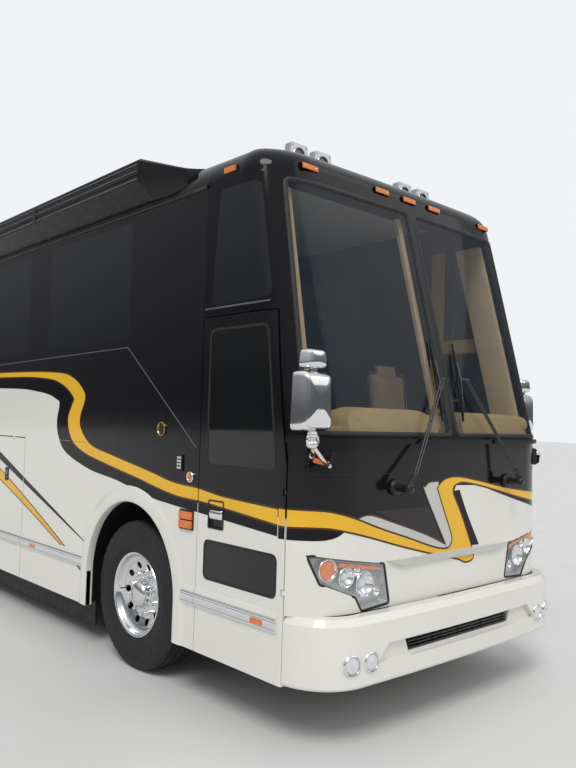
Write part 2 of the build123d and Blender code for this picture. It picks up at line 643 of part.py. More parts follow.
with BuildPart() as bumper_rear:
    with BuildSketch(Plane.XY.offset(SKIRT_Z)) as plan:
        with Locations((0, aft((REAR_SEAM + BODY_REAR + REAR_BUMPER_REACH) / 2))):
            Rectangle(BODY_WIDTH, BODY_REAR + REAR_BUMPER_REACH - REAR_SEAM)
        fillet(plan.vertices().group_by(Axis.Y)[-1], REAR_CORNER_R)
    extrude(amount=REAR_BUMPER_TOP - SKIRT_Z)
    block(
        (-INNER_X, INNER_X),
        (aft(REAR_SEAM - 10), aft(BODY_REAR - WALL)),
        (SKIRT_Z - 10, REAR_BUMPER_TOP + 10),
        mode=Mode.SUBTRACT,
    )
save(bumper_rear.part, "bumper_rear")

# Deck, cockpit floor, step well and the bulkheads between the bays
DECK_UNDER = DECK_Z - DECK_T
COCKPIT_UNDER = COCKPIT_Z - DECK_T
WELL_FRONT = -690.0
WELL_REAR = 690.0
PLATE = 30.0
STEP_WELL_X = 695.0 - HALF_W
STEP_WELL_Y = (-1640.0, -850.0)
CLEAR_X = INNER_X - SHUT_GAP
REAR_WELL_END = WHEELBASE + TAG_SPREAD + 690.0
BAY_PLATE_Z = (430.0, 460.0)
SKIRT_RUBBER_X = HALF_W - 150.0
SKIRT_RUBBER_LOW = 140.0
with BuildPart() as deck:
    block((-CLEAR_X, CLEAR_X), (aft(WELL_FRONT - PLATE), aft(BODY_REAR + 50)), (DECK_UNDER, DECK_Z))
    for side in (-1, 1):
        # Kerbs along both edges carry the walls
        block((side * (CLEAR_X - 40), side * CLEAR_X), (aft(WELL_FRONT - PLATE), aft(REAR_SEAM)), (DECK_UNDER, BELT_Z + 8))
        block((side * (CLEAR_X - 40), side * INNER_X), (aft(WELL_FRONT - PLATE), aft(REAR_SEAM)), (BELT_Z + 7, BELT_Z + 80))
    add(INNER, mode=Mode.INTERSECT)
save(deck.part, "deck")

with BuildPart() as cockpit_floor:
    block((-CLEAR_X, CLEAR_X), (aft(-1840), aft(WELL_FRONT - PLATE)), (COCKPIT_UNDER, COCKPIT_Z))
    block((-REACH, STEP_WELL_X), (aft(STEP_WELL_Y[0]), aft(STEP_WELL_Y[1])), (0, DECK_Z), mode=Mode.SUBTRACT)
    # Riser up to the deck and the splash plates round the front wheels
    block((-INNER_X, INNER_X), (aft(WELL_FRONT - PLATE), aft(WELL_FRONT)), (BAY_PLATE_Z[0], DECK_UNDER))
    add(INNER, mode=Mode.INTERSECT)
    steps = (
        # outer edge, inner edge, tread height
        (-CLEAR_X, STEP_WELL_X - 400.0, 480.0),
        (STEP_WELL_X - 400.0, STEP_WELL_X - 200.0, 690.0),
        (STEP_WELL_X - 200.0, STEP_WELL_X, 900.0),
    )
    y_span = (aft(STEP_WELL_Y[0] + 20), aft(STEP_WELL_Y[1] - 20))
    for outer, inner, tread in steps:
        block((outer, inner), y_span, (tread - PLATE, tread))
    for n, (outer, inner, tread) in enumerate(steps):
        top = steps[n + 1][2] if n + 1 < len(steps) else COCKPIT_Z
        block((inner - PLATE, inner), y_span, (tread - PLATE, top))
    for y in STEP_WELL_Y:
        inward = 20 if y == STEP_WELL_Y[0] else -20
        block((-CLEAR_X, STEP_WELL_X), (aft(y), aft(y + inward)), (450, COCKPIT_Z))
save(cockpit_floor.part, "cockpit_floor")

with BuildPart() as bay_floor:
    block((-CLEAR_X, CLEAR_X), (aft(WELL_REAR), aft(REAR_PANEL_FRONT + 40)), BAY_PLATE_Z)
    for y in (WELL_REAR, LOWER_SEAM - 40, REAR_PANEL_FRONT):
        block((-INNER_X, INNER_X), (aft(y), aft(y + PLATE)), (BAY_PLATE_Z[0], DECK_UNDER))
    # Rubber skirts that hang below the body's edge
    for side in (-1, 1):
        block(
            (side * SKIRT_RUBBER_X, side * (SKIRT_RUBBER_X - 15)),
            (aft(WELL_REAR + PLATE), aft(REAR_PANEL_FRONT)),
            (SKIRT_RUBBER_LOW, BAY_PLATE_Z[0] + 5),
        )
    for y in BAY_EDGES[1:-1]:
        block((-CLEAR_X, CLEAR_X), (aft(y - PLATE / 2), aft(y + PLATE / 2)), (BAY_PLATE_Z[0], DECK_UNDER))
    block((-INNER_X, INNER_X), (aft(REAR_WELL_END), aft(REAR_WELL_END + PLATE)), (BAY_PLATE_Z[0], DECK_UNDER))
save(bay_floor.part, "bay_floor")

# Rails of the front and rear subframes
RAIL_X = (390.0, 470.0)
FRONT_RAIL_Z = (850.0, COCKPIT_UNDER)
REAR_RAIL_Z = (1130.0, DECK_UNDER)
TAIL_RAIL_Z = (480.0, 560.0)
FRONT_RAIL_START = -1700.0
TAIL_RAIL_END = BODY_REAR - 180.0
FRONT_TIES = (-1500.0, -400.0, 400.0)
REAR_TIES = (BAY_EDGES[-1] + 190.0, WHEELBASE + TAG_SPREAD / 2, WHEELBASE + TAG_SPREAD + 550.0)
TIE_W = 80.0
HANGER_Y = BODY_REAR - 380.0
with BuildPart() as subframes:
    for side in (-1, 1):
        rail = (side * RAIL_X[0], side * RAIL_X[1])
        block(rail, (aft(FRONT_RAIL_START), aft(WELL_REAR)), FRONT_RAIL_Z)
        block(rail, (aft(REAR_PANEL_FRONT + PLATE), aft(REAR_WELL_END)), REAR_RAIL_Z)
        block(rail, (aft(REAR_WELL_END + PLATE), aft(TAIL_RAIL_END)), TAIL_RAIL_Z)
    for ties, low, high in (
        (FRONT_TIES, FRONT_RAIL_Z[0] + 50, FRONT_RAIL_Z[1] - 50),
        (REAR_TIES, REAR_RAIL_Z[0] + 50, REAR_RAIL_Z[1] - 50),
        ([TAIL_RAIL_END - TIE_W / 2], *TAIL_RAIL_Z),
    ):
        for y in ties:
            block((-RAIL_X[0], RAIL_X[0]), (aft(y - TIE_W / 2), aft(y + TIE_W / 2)), (low, high))
    # The part of the front rails that lies where the riser is
    block((-REACH, REACH), (aft(WELL_FRONT - PLATE), aft(WELL_FRONT)), (0, DECK_Z), mode=Mode.SUBTRACT)
    # Hitch receiver, open to the rear, with a hole across it for the hitch pin
    block((-RAIL_X[0], RAIL_X[0]), (aft(HANGER_Y), aft(HANGER_Y + TIE_W)), TAIL_RAIL_Z)
    block((-110, 110), (aft(HANGER_Y), aft(HANGER_Y + TIE_W)), (RECEIVER_Z + RECEIVER_OUT - 4, TAIL_RAIL_Z[0]))
    block(
        (-RECEIVER_OUT, RECEIVER_OUT),
        (aft(HANGER_Y), aft(BODY_REAR + REAR_BUMPER_REACH)),
        (RECEIVER_Z - RECEIVER_OUT, RECEIVER_Z + RECEIVER_OUT),
    )
    block(
        (-RECEIVER_IN, RECEIVER_IN),
        (aft(HANGER_Y + TIE_W), aft(BODY_REAR + REAR_BUMPER_REACH + 10)),
        (RECEIVER_Z - RECEIVER_IN, RECEIVER_Z + RECEIVER_IN),
        mode=Mode.SUBTRACT,
    )
    pin_y = aft(BODY_REAR + REAR_BUMPER_REACH - 60)
    rod((-100, pin_y, RECEIVER_Z), (100, pin_y, RECEIVER_Z), RECEIVER_PIN_R, mode=Mode.SUBTRACT)
save(subframes.part, "subframes")

ENGINE_SPAN = (BODY_REAR - 1530.0, BODY_REAR - 400.0)
ENGINE_HALF = 385.0
ENGINE_Z = (TAIL_RAIL_Z[1], 1220.0)
with BuildPart() as engine:
    block((-ENGINE_HALF, ENGINE_HALF), (aft(ENGINE_SPAN[0]), aft(ENGINE_SPAN[1])), ENGINE_Z)
    # Mounting feet on the rails
    foot_span = (aft(ENGINE_SPAN[0] + 100), aft(ENGINE_SPAN[1] - 150))
    block((-RAIL_X[1] + 10, RAIL_X[1] - 10), foot_span, (ENGINE_Z[0], ENGINE_Z[0] + 80))
save(engine.part, "engine")

# Axles, knuckles and wheels
AXLE_Z = TYRE_R
BEAM = (90.0, 100.0)
BOSS_R = 48.0
BOSS_Z = (AXLE_Z - 70, AXLE_Z + 70)
LUG_GAP = 1.0
LUG_T = 36.0


with BuildPart() as front_axle:
    block((-850, 850), (aft(-BEAM[0] / 2), aft(BEAM[0] / 2)), (AXLE_Z - 120, AXLE_Z - 20))
    for side in (-1, 1):
        block((side * 780, side * KINGPIN_X), (aft(-BEAM[0] / 2), aft(BEAM[0] / 2)), (AXLE_Z - 60, AXLE_Z + 60))
        upright(side * KINGPIN_X, aft(0), *BOSS_Z, BOSS_R)
        upright(side * KINGPIN_X, aft(0), 0, 2 * AXLE_Z, KINGPIN_R + RUNNING_GAP, mode=Mode.SUBTRACT)
        # Air spring between the beam and the rail
        block((side * 340, side * 520), (aft(-110), aft(110)), (AXLE_Z - 20, AXLE_Z + 10))
        upright(side * 430, aft(0), AXLE_Z + 10, FRONT_RAIL_Z[0], 105)
save(front_axle.part, "front_axle")

for side, name in ((-1, "right"), (1, "left")):
    pin_x = side * KINGPIN_X
    with BuildPart() as knuckle:
        upright(pin_x, aft(0), BOSS_Z[0] - LUG_GAP - LUG_T, BOSS_Z[1] + LUG_GAP + LUG_T, KINGPIN_R)
        for low in (BOSS_Z[0] - LUG_GAP - LUG_T, BOSS_Z[1] + LUG_GAP):
            upright(pin_x, aft(0), low, low + LUG_T, BOSS_R)
            block((pin_x, pin_x + side * 80), (aft(-40), aft(40)), (low, low + LUG_T))
        web = (BOSS_Z[0] - LUG_GAP - LUG_T, BOSS_Z[1] + LUG_GAP + LUG_T)
        block((pin_x + side * 55, pin_x + side * 80), (aft(-40), aft(40)), web)
        rod((pin_x + side * 70, aft(0), AXLE_Z), (side * (WHEEL_X + 40), aft(0), AXLE_Z), SPINDLE_R)
        # Steering arm, towards the rear
        low = BOSS_Z[0] - LUG_GAP - LUG_T
        block((pin_x - side * 60, pin_x - side * 20), (aft(20), aft(STEER_ARM)), (low, low + LUG_T))
    save(knuckle.part, f"knuckle_{name}")

TYRE_SECTION = (
    # across the tread, radius
    (122.0, BEAD_R),
    (122.0, RIM_R + 2),
    (TYRE_W / 2 - 10, RIM_R + 40),
    (TYRE_W / 2, TYRE_R - 140),
    (TYRE_W / 2 - 2, TYRE_R - 100),
    (TYRE_W / 2 - 12, TYRE_R - 50),
    (TYRE_W / 2 - 22, TYRE_R - 22),
    (TYRE_W / 2 - 42, TYRE_R - 4),
    (TYRE_W / 2 - 80, TYRE_R),
)
STUD_CIRCLE_R = 150.0
STUD_COVER_R = 17.0
STEER_RIM = (
    # outward from the wheel's centre plane, radius
    (-132.0, BEAD_R - 14),
    (-132.0, RIM_R),
    (-122.0, RIM_R),
    (-122.0, BEAD_R),
    (122.0, BEAD_R),
    (122.0, RIM_R),
    (132.0, RIM_R),
    (132.0, BEAD_R - 14),
    (84.0, BEAD_R - 20),
    (70.0, 240.0),
    (48.0, 188.0),
    (48.0, 100.0),
    (62.0, 100.0),
    (68.0, 90.0),
    (108.0, 86.0),
    (122.0, 70.0),
    (130.0, 40.0),
    (132.0, 0.0),
    (60.0, 0.0),
    (60.0, SPINDLE_R + RUNNING_GAP),
    (-30.0, SPINDLE_R + RUNNING_GAP),
    (-30.0, 100.0),
    (28.0, 115.0),
    (40.0, 240.0),
    (40.0, BEAD_R - 20),
)


def ring(points, centre_x, side, axle_y):
    """A body of revolution about a wheel's axis from (outward, radius) points."""
    with BuildSketch(Plane.XY) as section:
        with BuildLine():
            Polyline(*[(centre_x + side * across, axle_y + radius) for across, radius in points], close=True)
        make_face()
    revolve(section.sketch, axis=Axis((0, axle_y, 0), (1, 0, 0)))


def wheel_at(points, centre_x, side, distance):
    """A wheel part turned about its axle and raised to the axle's height."""
    with BuildPart() as body:
        ring(points, centre_x, side, aft(distance))
    return body.part.moved(Location((0, 0, AXLE_Z)))


full_tyre = [(-x, r) for x, r in TYRE_SECTION] + [(x, r) for x, r in reversed(TYRE_SECTION)]
TWIN_RIM = (
    (-132.0, BEAD_R - 14),
    (-132.0, RIM_R),
    (-122.0, RIM_R),
    (-122.0, BEAD_R),
    (122.0, BEAD_R),
    (122.0, RIM_R),
    (132.0, RIM_R),
    (132.0, BEAD_R - 14),
    (-60.0, BEAD_R - 20),
    (-100.0, 240.0),
    (-TWIN_SPACING / 2 + 12, 200.0),
    (-TWIN_SPACING / 2 + 12, SPINDLE_R + RUNNING_GAP),
    (-TWIN_SPACING / 2, SPINDLE_R + RUNNING_GAP),
    (-TWIN_SPACING / 2, 200.0),
    (-115.0, 245.0),
)
for side, name in ((-1, "right"), (1, "left")):
    for place, distance in (("front", 0.0), ("tag", WHEELBASE + TAG_SPREAD)):
        save(wheel_at(full_tyre, side * WHEEL_X, side, distance), f"tyre_{place}_{name}")
        with BuildPart() as rim:
            add(wheel_at(STEER_RIM, side * WHEEL_X, side, distance))
            for n in range(10):
                angle = math.radians(36 * n)
                y, z = aft(distance) + 205 * math.cos(angle), AXLE_Z + 205 * math.sin(angle)
                rod((side * (WHEEL_X + 20), y, z), (side * (WHEEL_X + 80), y, z), 27, mode=Mode.SUBTRACT)
                angle += math.radians(18)
                y, z = aft(distance) + STUD_CIRCLE_R * math.cos(angle), AXLE_Z + STUD_CIRCLE_R * math.sin(angle)
                rod((side * (WHEEL_X + 40), y, z), (side * (WHEEL_X + 84), y, z), STUD_COVER_R)
        save(rim.part, f"rim_{place}_{name}")

    with BuildPart() as twins:
        for centre in (WHEEL_X, WHEEL_X - TWIN_SPACING):
            add(wheel_at(full_tyre, side * centre, side, WHEELBASE))
    save(twins.part, f"tyres_drive_{name}")
    with BuildPart() as rims:
        add(wheel_at(TWIN_RIM, side * WHEEL_X, side, WHEELBASE))
        add(wheel_at(TWIN_RIM, side * (WHEEL_X - TWIN_SPACING), -side, WHEELBASE))
        hub_x = side * (WHEEL_X - TWIN_SPACING / 2)
        rod((hub_x - side * 90, aft(WHEELBASE), AXLE_Z), (hub_x + side * 150, aft(WHEELBASE), AXLE_Z), 105)
        rod((hub_x - side * 100, aft(WHEELBASE), AXLE_Z), (hub_x + side * 120, aft(WHEELBASE), AXLE_Z), SPINDLE_R + RUNNING_GAP, mode=Mode.SUBTRACT)
        for n in range(10):
            angle = math.radians(36 * n)
            y, z = aft(WHEELBASE) + STUD_CIRCLE_R * math.cos(angle), AXLE_Z + STUD_CIRCLE_R * math.sin(angle)
            rod((hub_x, y, z), (hub_x + side * 46, y, z), STUD_COVER_R)
    save(rims.part, f"rims_drive_{name}")

with BuildPart() as rear_axles:
    for twin, distance in ((True, WHEELBASE), (False, WHEELBASE + TAG_SPREAD)):
        inner_end = WHEEL_X - TWIN_SPACING / 2 - 100 if twin else WHEEL_X - 35
        rod((-inner_end, aft(distance), AXLE_Z), (inner_end, aft(distance), AXLE_Z), 70)
        for side in (-1, 1):
            tip = inner_end + (200 if twin else 80)
            rod((side * (inner_end - 20), aft(distance), AXLE_Z), (side * tip, aft(distance), AXLE_Z), SPINDLE_R)
            block((side * 340, side * 520), (aft(distance - 110), aft(distance + 110)), (AXLE_Z + 40, AXLE_Z + 100))
            upright(side * 430, aft(distance), AXLE_Z + 100, REAR_RAIL_Z[0], 105)
        if twin:
            rod((0, aft(distance - 190), AXLE_Z), (0, aft(distance + 230), AXLE_Z), 170)
save(rear_axles.part, "rear_axles")

# Cockpit: dash, steering wheel and seats
DASH_TOP = SILL_Z + 55.0
SEAT_X = HALF_W - 735.0
STEER_WHEEL = (SEAT_X, -1330.0, SILL_Z + 135.0)
STEER_TILT = 35.0
COLUMN_STUB_R = 12.0
column_dir = Vector(0, math.sin(math.radians(STEER_TILT)), math.cos(math.radians(STEER_TILT)))
hub = Vector(STEER_WHEEL[0], aft(STEER_WHEEL[1]), STEER_WHEEL[2])
DASH_HUMPS = (
    # x from, x to
    (-HALF_W + 345.0, -110.0),
    (170.0, HALF_W - 175.0),
)
dash_humps = []
for hump_span in DASH_HUMPS:
    with BuildPart() as hump:
        block(hump_span, (aft(-1850), aft(-1555)), (DASH_TOP - 60, DASH_TOP + 85))
        fillet(hump.faces().sort_by(Axis.Z)[-1].edges(), 60)
    dash_humps.append(hump.part)
with BuildPart() as dashboard:
    dash_outline = [(-1800, 1300), (-1800, DASH_TOP), (-1560, DASH_TOP), (-1400, DASH_TOP - 80), (-1480, 1300)]
    side_shape(dash_outline, -INNER_X, INNER_X)
    for hump in dash_humps:
        add(hump)
    # Clear of the entry steps
    block((-REACH, STEP_WELL_X), (aft(CAP_SEAM), aft(0)), (0, ROOF_HEIGHT), mode=Mode.SUBTRACT)
    add(INNER, mode=Mode.INTERSECT)
    rod(tuple(hub - column_dir * 320), tuple(hub - column_dir * 26), 32)
    rod(tuple(hub - column_dir * 30), tuple(hub + column_dir * 6), COLUMN_STUB_R)
save(dashboard.part, "dashboard")

with BuildPart() as steering_wheel:
    wheel_plane = Plane(origin=hub, z_dir=column_dir)
    with Locations(wheel_plane):
        Torus(215, 16)
        Cylinder(48, 40)
        Box(420, 40, 14)
    with Locations(Plane(origin=hub - wheel_plane.y_dir * 110, z_dir=column_dir, x_dir=wheel_plane.x_dir)):
        Box(40, 200, 14)
    rod(tuple(hub - column_dir * 30), tuple(hub + column_dir * 6.1), COLUMN_STUB_R + RUNNING_GAP, mode=Mode.SUBTRACT)
save(steering_wheel.part, "steering_wheel")

SEAT_Y = -980.0
CUSHION_R = 40.0


def cushion(x, y, z, radius=CUSHION_R):
    """A cushion with rounded edges, between two limits on each axis."""
    with BuildPart() as pad:
        block(x, (aft(y[0]), aft(y[1])), z)
        fillet(pad.edges(), radius)
    return pad.part


REST_SPAN = (205.0, 255.0)  # arm rests from a seat's middle, inside the cushion's edge to leave the way between the seats
SEAT_BACK = [(130.0, 440.0), (250.0, 1190.0), (130.0, 1190.0), (0.0, 440.0)]  # behind the seat's place, height
seat_parts = []
for side in (-1, 1):
    x = side * SEAT_X
    seat_parts.append(cushion((x - 260, x + 260), (SEAT_Y - 270, SEAT_Y + 260), (COCKPIT_Z + 290, COCKPIT_Z + 440)))
    with BuildPart() as back:
        side_shape([(SEAT_Y + y, COCKPIT_Z + z) for y, z in SEAT_BACK], x - 240, x + 240)
        fillet(back.edges(), CUSHION_R)
    seat_parts.append(back.part)
with BuildPart() as seats:
    for side in (-1, 1):
        x = side * SEAT_X
        block((x - 180, x + 180), (aft(SEAT_Y - 160), aft(SEAT_Y + 200)), (COCKPIT_Z, COCKPIT_Z + 320))
        # Hinge plates between the cushion and the back, and the arm rests on them
        for edge in (-1, 1):
            plate = (x + edge * 200, x + edge * 225)
            block(plate, (aft(SEAT_Y + 20), aft(SEAT_Y + 150)), (COCKPIT_Z + 380, COCKPIT_Z + 560))
            rest = (x + edge * REST_SPAN[0], x + edge * REST_SPAN[1])
            block(rest, (aft(SEAT_Y - 200), aft(SEAT_Y + 120)), (COCKPIT_Z + 600, COCKPIT_Z + 650))
            block((x + edge * 215, x + edge * 240), (aft(SEAT_Y + 60), aft(SEAT_Y + 120)), (COCKPIT_Z + 500, COCKPIT_Z + 650))
    for piece in seat_parts:
        add(piece)
save(seats.part, "seats")

WALL_PASSAGE = 350.0  # half the way through the bedroom's wall
BEDROOM_WALL = (6500.0, 6540.0)
BED = (8400.0, 10400.0)
CABINETS = (
    # name, x from, x to, y from, y to, height above the deck
    ("sofa base", -INNER_X + 50, -620.0, 2600.0, 5500.0, 300.0),
    ("dinette base", 620.0, INNER_X - 50, 200.0, 2500.0, 300.0),
    ("kitchen counter", 600.0, INNER_X - 50, 3000.0, 5500.0, 900.0),
    ("bed base", -740.0, 740.0, BED[0] + 20, BED[1], 300.0),
    ("bed head", -780.0, 780.0, BED[1] - 20, BED[1] + 60, 900.0),
)
PADS = (
    # name, x from, x to, y from, y to, bottom and top above the deck
    ("sofa seat", -INNER_X + 190, -600.0, 2600.0, 5500.0, 280.0, 430.0),
    ("sofa back", -INNER_X + 50, -INNER_X + 220, 2600.0, 5500.0, 260.0, 800.0),
    ("front dinette seat", 620.0, INNER_X - 60, 200.0, 800.0, 280.0, 430.0),
    ("rear dinette seat", 620.0, INNER_X - 60, 1900.0, 2500.0, 280.0, 430.0),
    ("mattress", -760.0, 760.0, BED[0], BED[1] - 10, 280.0, 520.0),
    ("kerb side pillow", -700.0, -60.0, BED[1] - 480, BED[1] - 60, 500.0, 640.0),
    ("driver side pillow", 60.0, 700.0, BED[1] - 480, BED[1] - 60, 500.0, 640.0),
)
pads = [cushion((x0, x1), (y0, y1), (DECK_Z + z0, DECK_Z + z1)) for _, x0, x1, y0, y1, z0, z1 in PADS]
with BuildPart() as furniture:
    wall_end = CLEAR_X - 6
    for x_span in ((-wall_end, -WALL_PASSAGE), (WALL_PASSAGE, wall_end)):
        block(x_span, (aft(BEDROOM_WALL[0]), aft(BEDROOM_WALL[1])), (DECK_Z, ROOF_HEIGHT))
    for _, x_from, x_to, y_from, y_to, height in CABINETS:
        block((x_from, x_to), (aft(y_from), aft(y_to)), (DECK_Z, DECK_Z + height))
    for pad in pads:
        add(pad)
    add(INNER, mode=Mode.INTERSECT)
    add(deck.part, mode=Mode.SUBTRACT)
save(furniture.part, "furniture")

# Mirrors, wipers, roof lamps and the awning
MIRROR_OUT = HALF_W + MIRROR_REACH
HEAD_W = 225.0
HEAD_DEPTH = 120.0
HEAD_Z = (1770.0, 2090.0)
UPPER_W = 160.0
UPPER_DEPTH = 80.0
UPPER_Z = (2102.0, 2210.0)
HEAD_INSET = 22.0  # how far each head's front edge lies inside its rear edge
BRACKET_Z = 1600.0
ARM_R = 22.0
MIRRORS = (
    # side, head centre along, bracket inward from the body's side, bracket along
    (-1, -1920.0, 130.0, -1790.0),
    (1, -1590.0, 80.0, -1740.0),
)
with BuildPart() as mirrors:
    for side, head_y, inward, foot_y in MIRRORS:
        head_x = side * (MIRROR_OUT - HEAD_W / 2)
        foot_x = side * (HALF_W - inward)
        for width, depth, heights, corner, share in (
            (HEAD_W, HEAD_DEPTH, HEAD_Z, 45, 0.96),
            (UPPER_W, UPPER_DEPTH, UPPER_Z, 30, 0.8),
        ):
            low, high = heights
            outlines = []
            for place, inset in ((depth / 2, 0.0), (depth * 0.15, 0.0), (-depth / 2, HEAD_INSET)):
                wide, narrow = width / 2 - inset, width * share / 2 - inset
                with BuildSketch(Plane.XZ.offset(-aft(head_y + place))) as head:
                    with BuildLine():
                        Polyline(
                            (head_x - wide, low + inset),
                            (head_x + wide, low + inset),
                            (head_x + narrow, high - inset),
                            (head_x - narrow, high - inset),
                            close=True,
                        )
                    make_face()
                    fillet(head.vertices(), corner - inset / 2)
                outlines.append(head.sketch)
            loft(outlines, ruled=True)
        rod((head_x, aft(head_y), HEAD_Z[1] - 10), (head_x, aft(head_y), UPPER_Z[0] + 10), 18)
        rod((head_x, aft(head_y), HEAD_Z[0] - 70), (head_x, aft(head_y), HEAD_Z[0] + 20), ARM_R)
        rod((foot_x, aft(foot_y), BRACKET_Z), (head_x, aft(head_y), HEAD_Z[0] - 60), ARM_R)
        rod((foot_x, aft(foot_y - 60), BRACKET_Z), (foot_x, aft(foot_y + 60), BRACKET_Z), 45)
    add(OUTER, mode=Mode.SUBTRACT)
save(mirrors.part, "mirrors")


def screen_y(z):
    """Where the windscreen's face lies along the coach, at a height."""
    return BODY_FRONT + max(0.0, z - SILL_Z) * WINDSCREEN_RAKE


WIPER_PIVOT_Z = 1440.0
WIPERS = (
    # pivot across, arm's end across and height, blade's two ends across
    (-607.0, -63.0, 2129.0, -121.0, -90.0),
    (640.0, 215.0, 2139.0, 116.0, 170.0),
)
BLADE_Z = (1850.0, 2385.0)
with BuildPart() as wipers:
    for pivot_x, arm_x, arm_z, low_x, high_x in WIPERS:
        rod((pivot_x, aft(BODY_FRONT + 85), WIPER_PIVOT_Z), (pivot_x, aft(BODY_FRONT - 115), WIPER_PIVOT_Z), 20)
        arm_end = (arm_x, aft(screen_y(arm_z) - 38), arm_z)
        for apart in (-14, 14):
            rod((pivot_x + apart, aft(BODY_FRONT - 105), WIPER_PIVOT_Z), (arm_x + apart, arm_end[1], arm_z), 7)
        rod((arm_x - 22, arm_end[1], arm_z), (arm_x + 22, arm_end[1], arm_z), 9)
        rod((low_x, aft(screen_y(BLADE_Z[0]) - 14), BLADE_Z[0]), (high_x, aft(screen_y(BLADE_Z[1]) - 14), BLADE_Z[1]), 10)
        blade_x = low_x + (high_x - low_x) * (arm_z - BLADE_Z[0]) / (BLADE_Z[1] - BLADE_Z[0])
        rod(arm_end, (blade_x, aft(screen_y(arm_z) - 14), arm_z), 8)
    add(OUTER, mode=Mode.SUBTRACT)
save(wipers.part, "wipers")

ROOF_LAMPS = (-695.0, -462.0, 462.0, 695.0)
ROOF_LAMP_SIZE = (185.0, 60.0)  # across and along
ROOF_LAMP_Z = (ROOF_HEIGHT + 25.0, ROOF_HEIGHT + 188.0)
ROOF_LAMP_Y = -1050.0
with BuildPart() as roof_lamps:
    width, depth = ROOF_LAMP_SIZE
    for x in ROOF_LAMPS:
        low, high = ROOF_LAMP_Z
        half = width / 2
        front_shape([(x - half, low), (x + half, low), (x + half - 14, high), (x - half + 14, high)], ROOF_LAMP_Y, ROOF_LAMP_Y + depth, 12)
        lens_z = (low + high) / 2
        rod((x, aft(ROOF_LAMP_Y - 5), lens_z), (x, aft(ROOF_LAMP_Y + 20), lens_z), 56, mode=Mode.SUBTRACT)
        rod((x, aft(ROOF_LAMP_Y + 8), lens_z), (x, aft(ROOF_LAMP_Y + 30), lens_z), 34)
        block((x - 50, x + 50), (aft(ROOF_LAMP_Y + 10), aft(ROOF_LAMP_Y + depth)), (ROOF_HEIGHT, ROOF_LAMP_Z[0]))
save(roof_lamps.part, "roof_lamps")

AWNING_IN = HALF_W - 165.0
AWNING_OUT = HALF_W + 165.0
AWNING = [
    # across, height
    (-AWNING_OUT, ROOF_HEIGHT - 70.0),
    (-AWNING_OUT, ROOF_HEIGHT + 80.0),
    (-AWNING_OUT + 20, ROOF_HEIGHT + 95.0),
    (-AWNING_IN, ROOF_HEIGHT + 50.0),
    (-AWNING_IN, ROOF_HEIGHT - 180.0),
    (-HALF_W + 15, ROOF_HEIGHT - 180.0),
]
AWNING_TIP = [
    (-HALF_W - 5, ROOF_HEIGHT - 70.0),
    (-HALF_W - 5, ROOF_HEIGHT - 40.0),
    (-HALF_W, ROOF_HEIGHT - 30.0),
    (-AWNING_IN, ROOF_HEIGHT + 10.0),
    (-AWNING_IN, ROOF_HEIGHT - 180.0),
    (-HALF_W + 15, ROOF_HEIGHT - 180.0),
]
AWNING_SPAN = (-200.0, BODY_REAR - 780.0)
AWNING_TIP_Y = -585.0
AWNING_GROOVES = (-30.0, 42.0)
with BuildPart() as awning:
    front_shape(AWNING, *AWNING_SPAN)
    with BuildSketch(Plane.XZ.offset(-aft(AWNING_SPAN[0]))) as wide:
        with BuildLine():
            Polyline(*AWNING, close=True)
        make_face()
    with BuildSketch(Plane.XZ.offset(-aft(AWNING_TIP_Y))) as narrow:
        with BuildLine():
            Polyline(*AWNING_TIP, close=True)
        make_face()
    loft([wide.sketch, narrow.sketch], ruled=True)
    add(OUTER, mode=Mode.SUBTRACT)
    for rise in AWNING_GROOVES:
        block(
            (-AWNING_OUT - 1, -AWNING_OUT + 6),
            (aft(AWNING_SPAN[0]), aft(AWNING_SPAN[1] + 1)),
            (ROOF_HEIGHT + rise, ROOF_HEIGHT + rise + 9),
            mode=Mode.SUBTRACT,
        )
save(awning.part, "awning")
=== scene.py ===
"""Looks of the motorhome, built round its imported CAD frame.

Units are metres. The front faces -Y, the kerb side with the entry door is at -X and +Z is up.
Distances along the coach are given behind the front axle, as in the frame's own sizes.
"""
import math

import bmesh
import bpy
from mathutils import Matrix, Vector
from mathutils.bvhtree import BVHTree


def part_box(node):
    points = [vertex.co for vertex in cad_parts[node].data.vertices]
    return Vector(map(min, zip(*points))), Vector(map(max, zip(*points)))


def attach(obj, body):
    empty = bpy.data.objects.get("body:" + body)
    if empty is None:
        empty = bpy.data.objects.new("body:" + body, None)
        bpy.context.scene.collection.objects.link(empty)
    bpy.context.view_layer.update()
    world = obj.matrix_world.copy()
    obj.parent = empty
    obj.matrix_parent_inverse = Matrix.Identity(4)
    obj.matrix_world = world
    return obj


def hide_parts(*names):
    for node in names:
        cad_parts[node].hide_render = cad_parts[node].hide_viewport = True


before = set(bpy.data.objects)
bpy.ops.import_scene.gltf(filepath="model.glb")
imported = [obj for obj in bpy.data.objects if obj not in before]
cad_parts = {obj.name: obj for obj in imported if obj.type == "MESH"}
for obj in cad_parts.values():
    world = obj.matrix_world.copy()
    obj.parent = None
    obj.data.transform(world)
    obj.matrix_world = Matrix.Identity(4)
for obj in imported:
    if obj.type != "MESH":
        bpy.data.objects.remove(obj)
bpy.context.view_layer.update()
scene = bpy.context.scene

# Places read from the frame
RIM_LOW, RIM_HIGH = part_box("rim_front_right")
AXLE_Y = (RIM_LOW[1] + RIM_HIGH[1]) / 2
AXLE_Z = (RIM_LOW[2] + RIM_HIGH[2]) / 2
WHEEL_X = -RIM_LOW[0] - 0.132

# Main sizes, as in the frame
HALF_W = 1.295
DRIVE = 8.05
TAG = 9.35
TWIN = 0.345
BAYS = (1.87, 3.65, 5.43, 7.21)
COCKPIT_Z = 1.10
DECK_Z = 1.38
STRIP_Z = 0.665  # middle of the bright strips along the sides

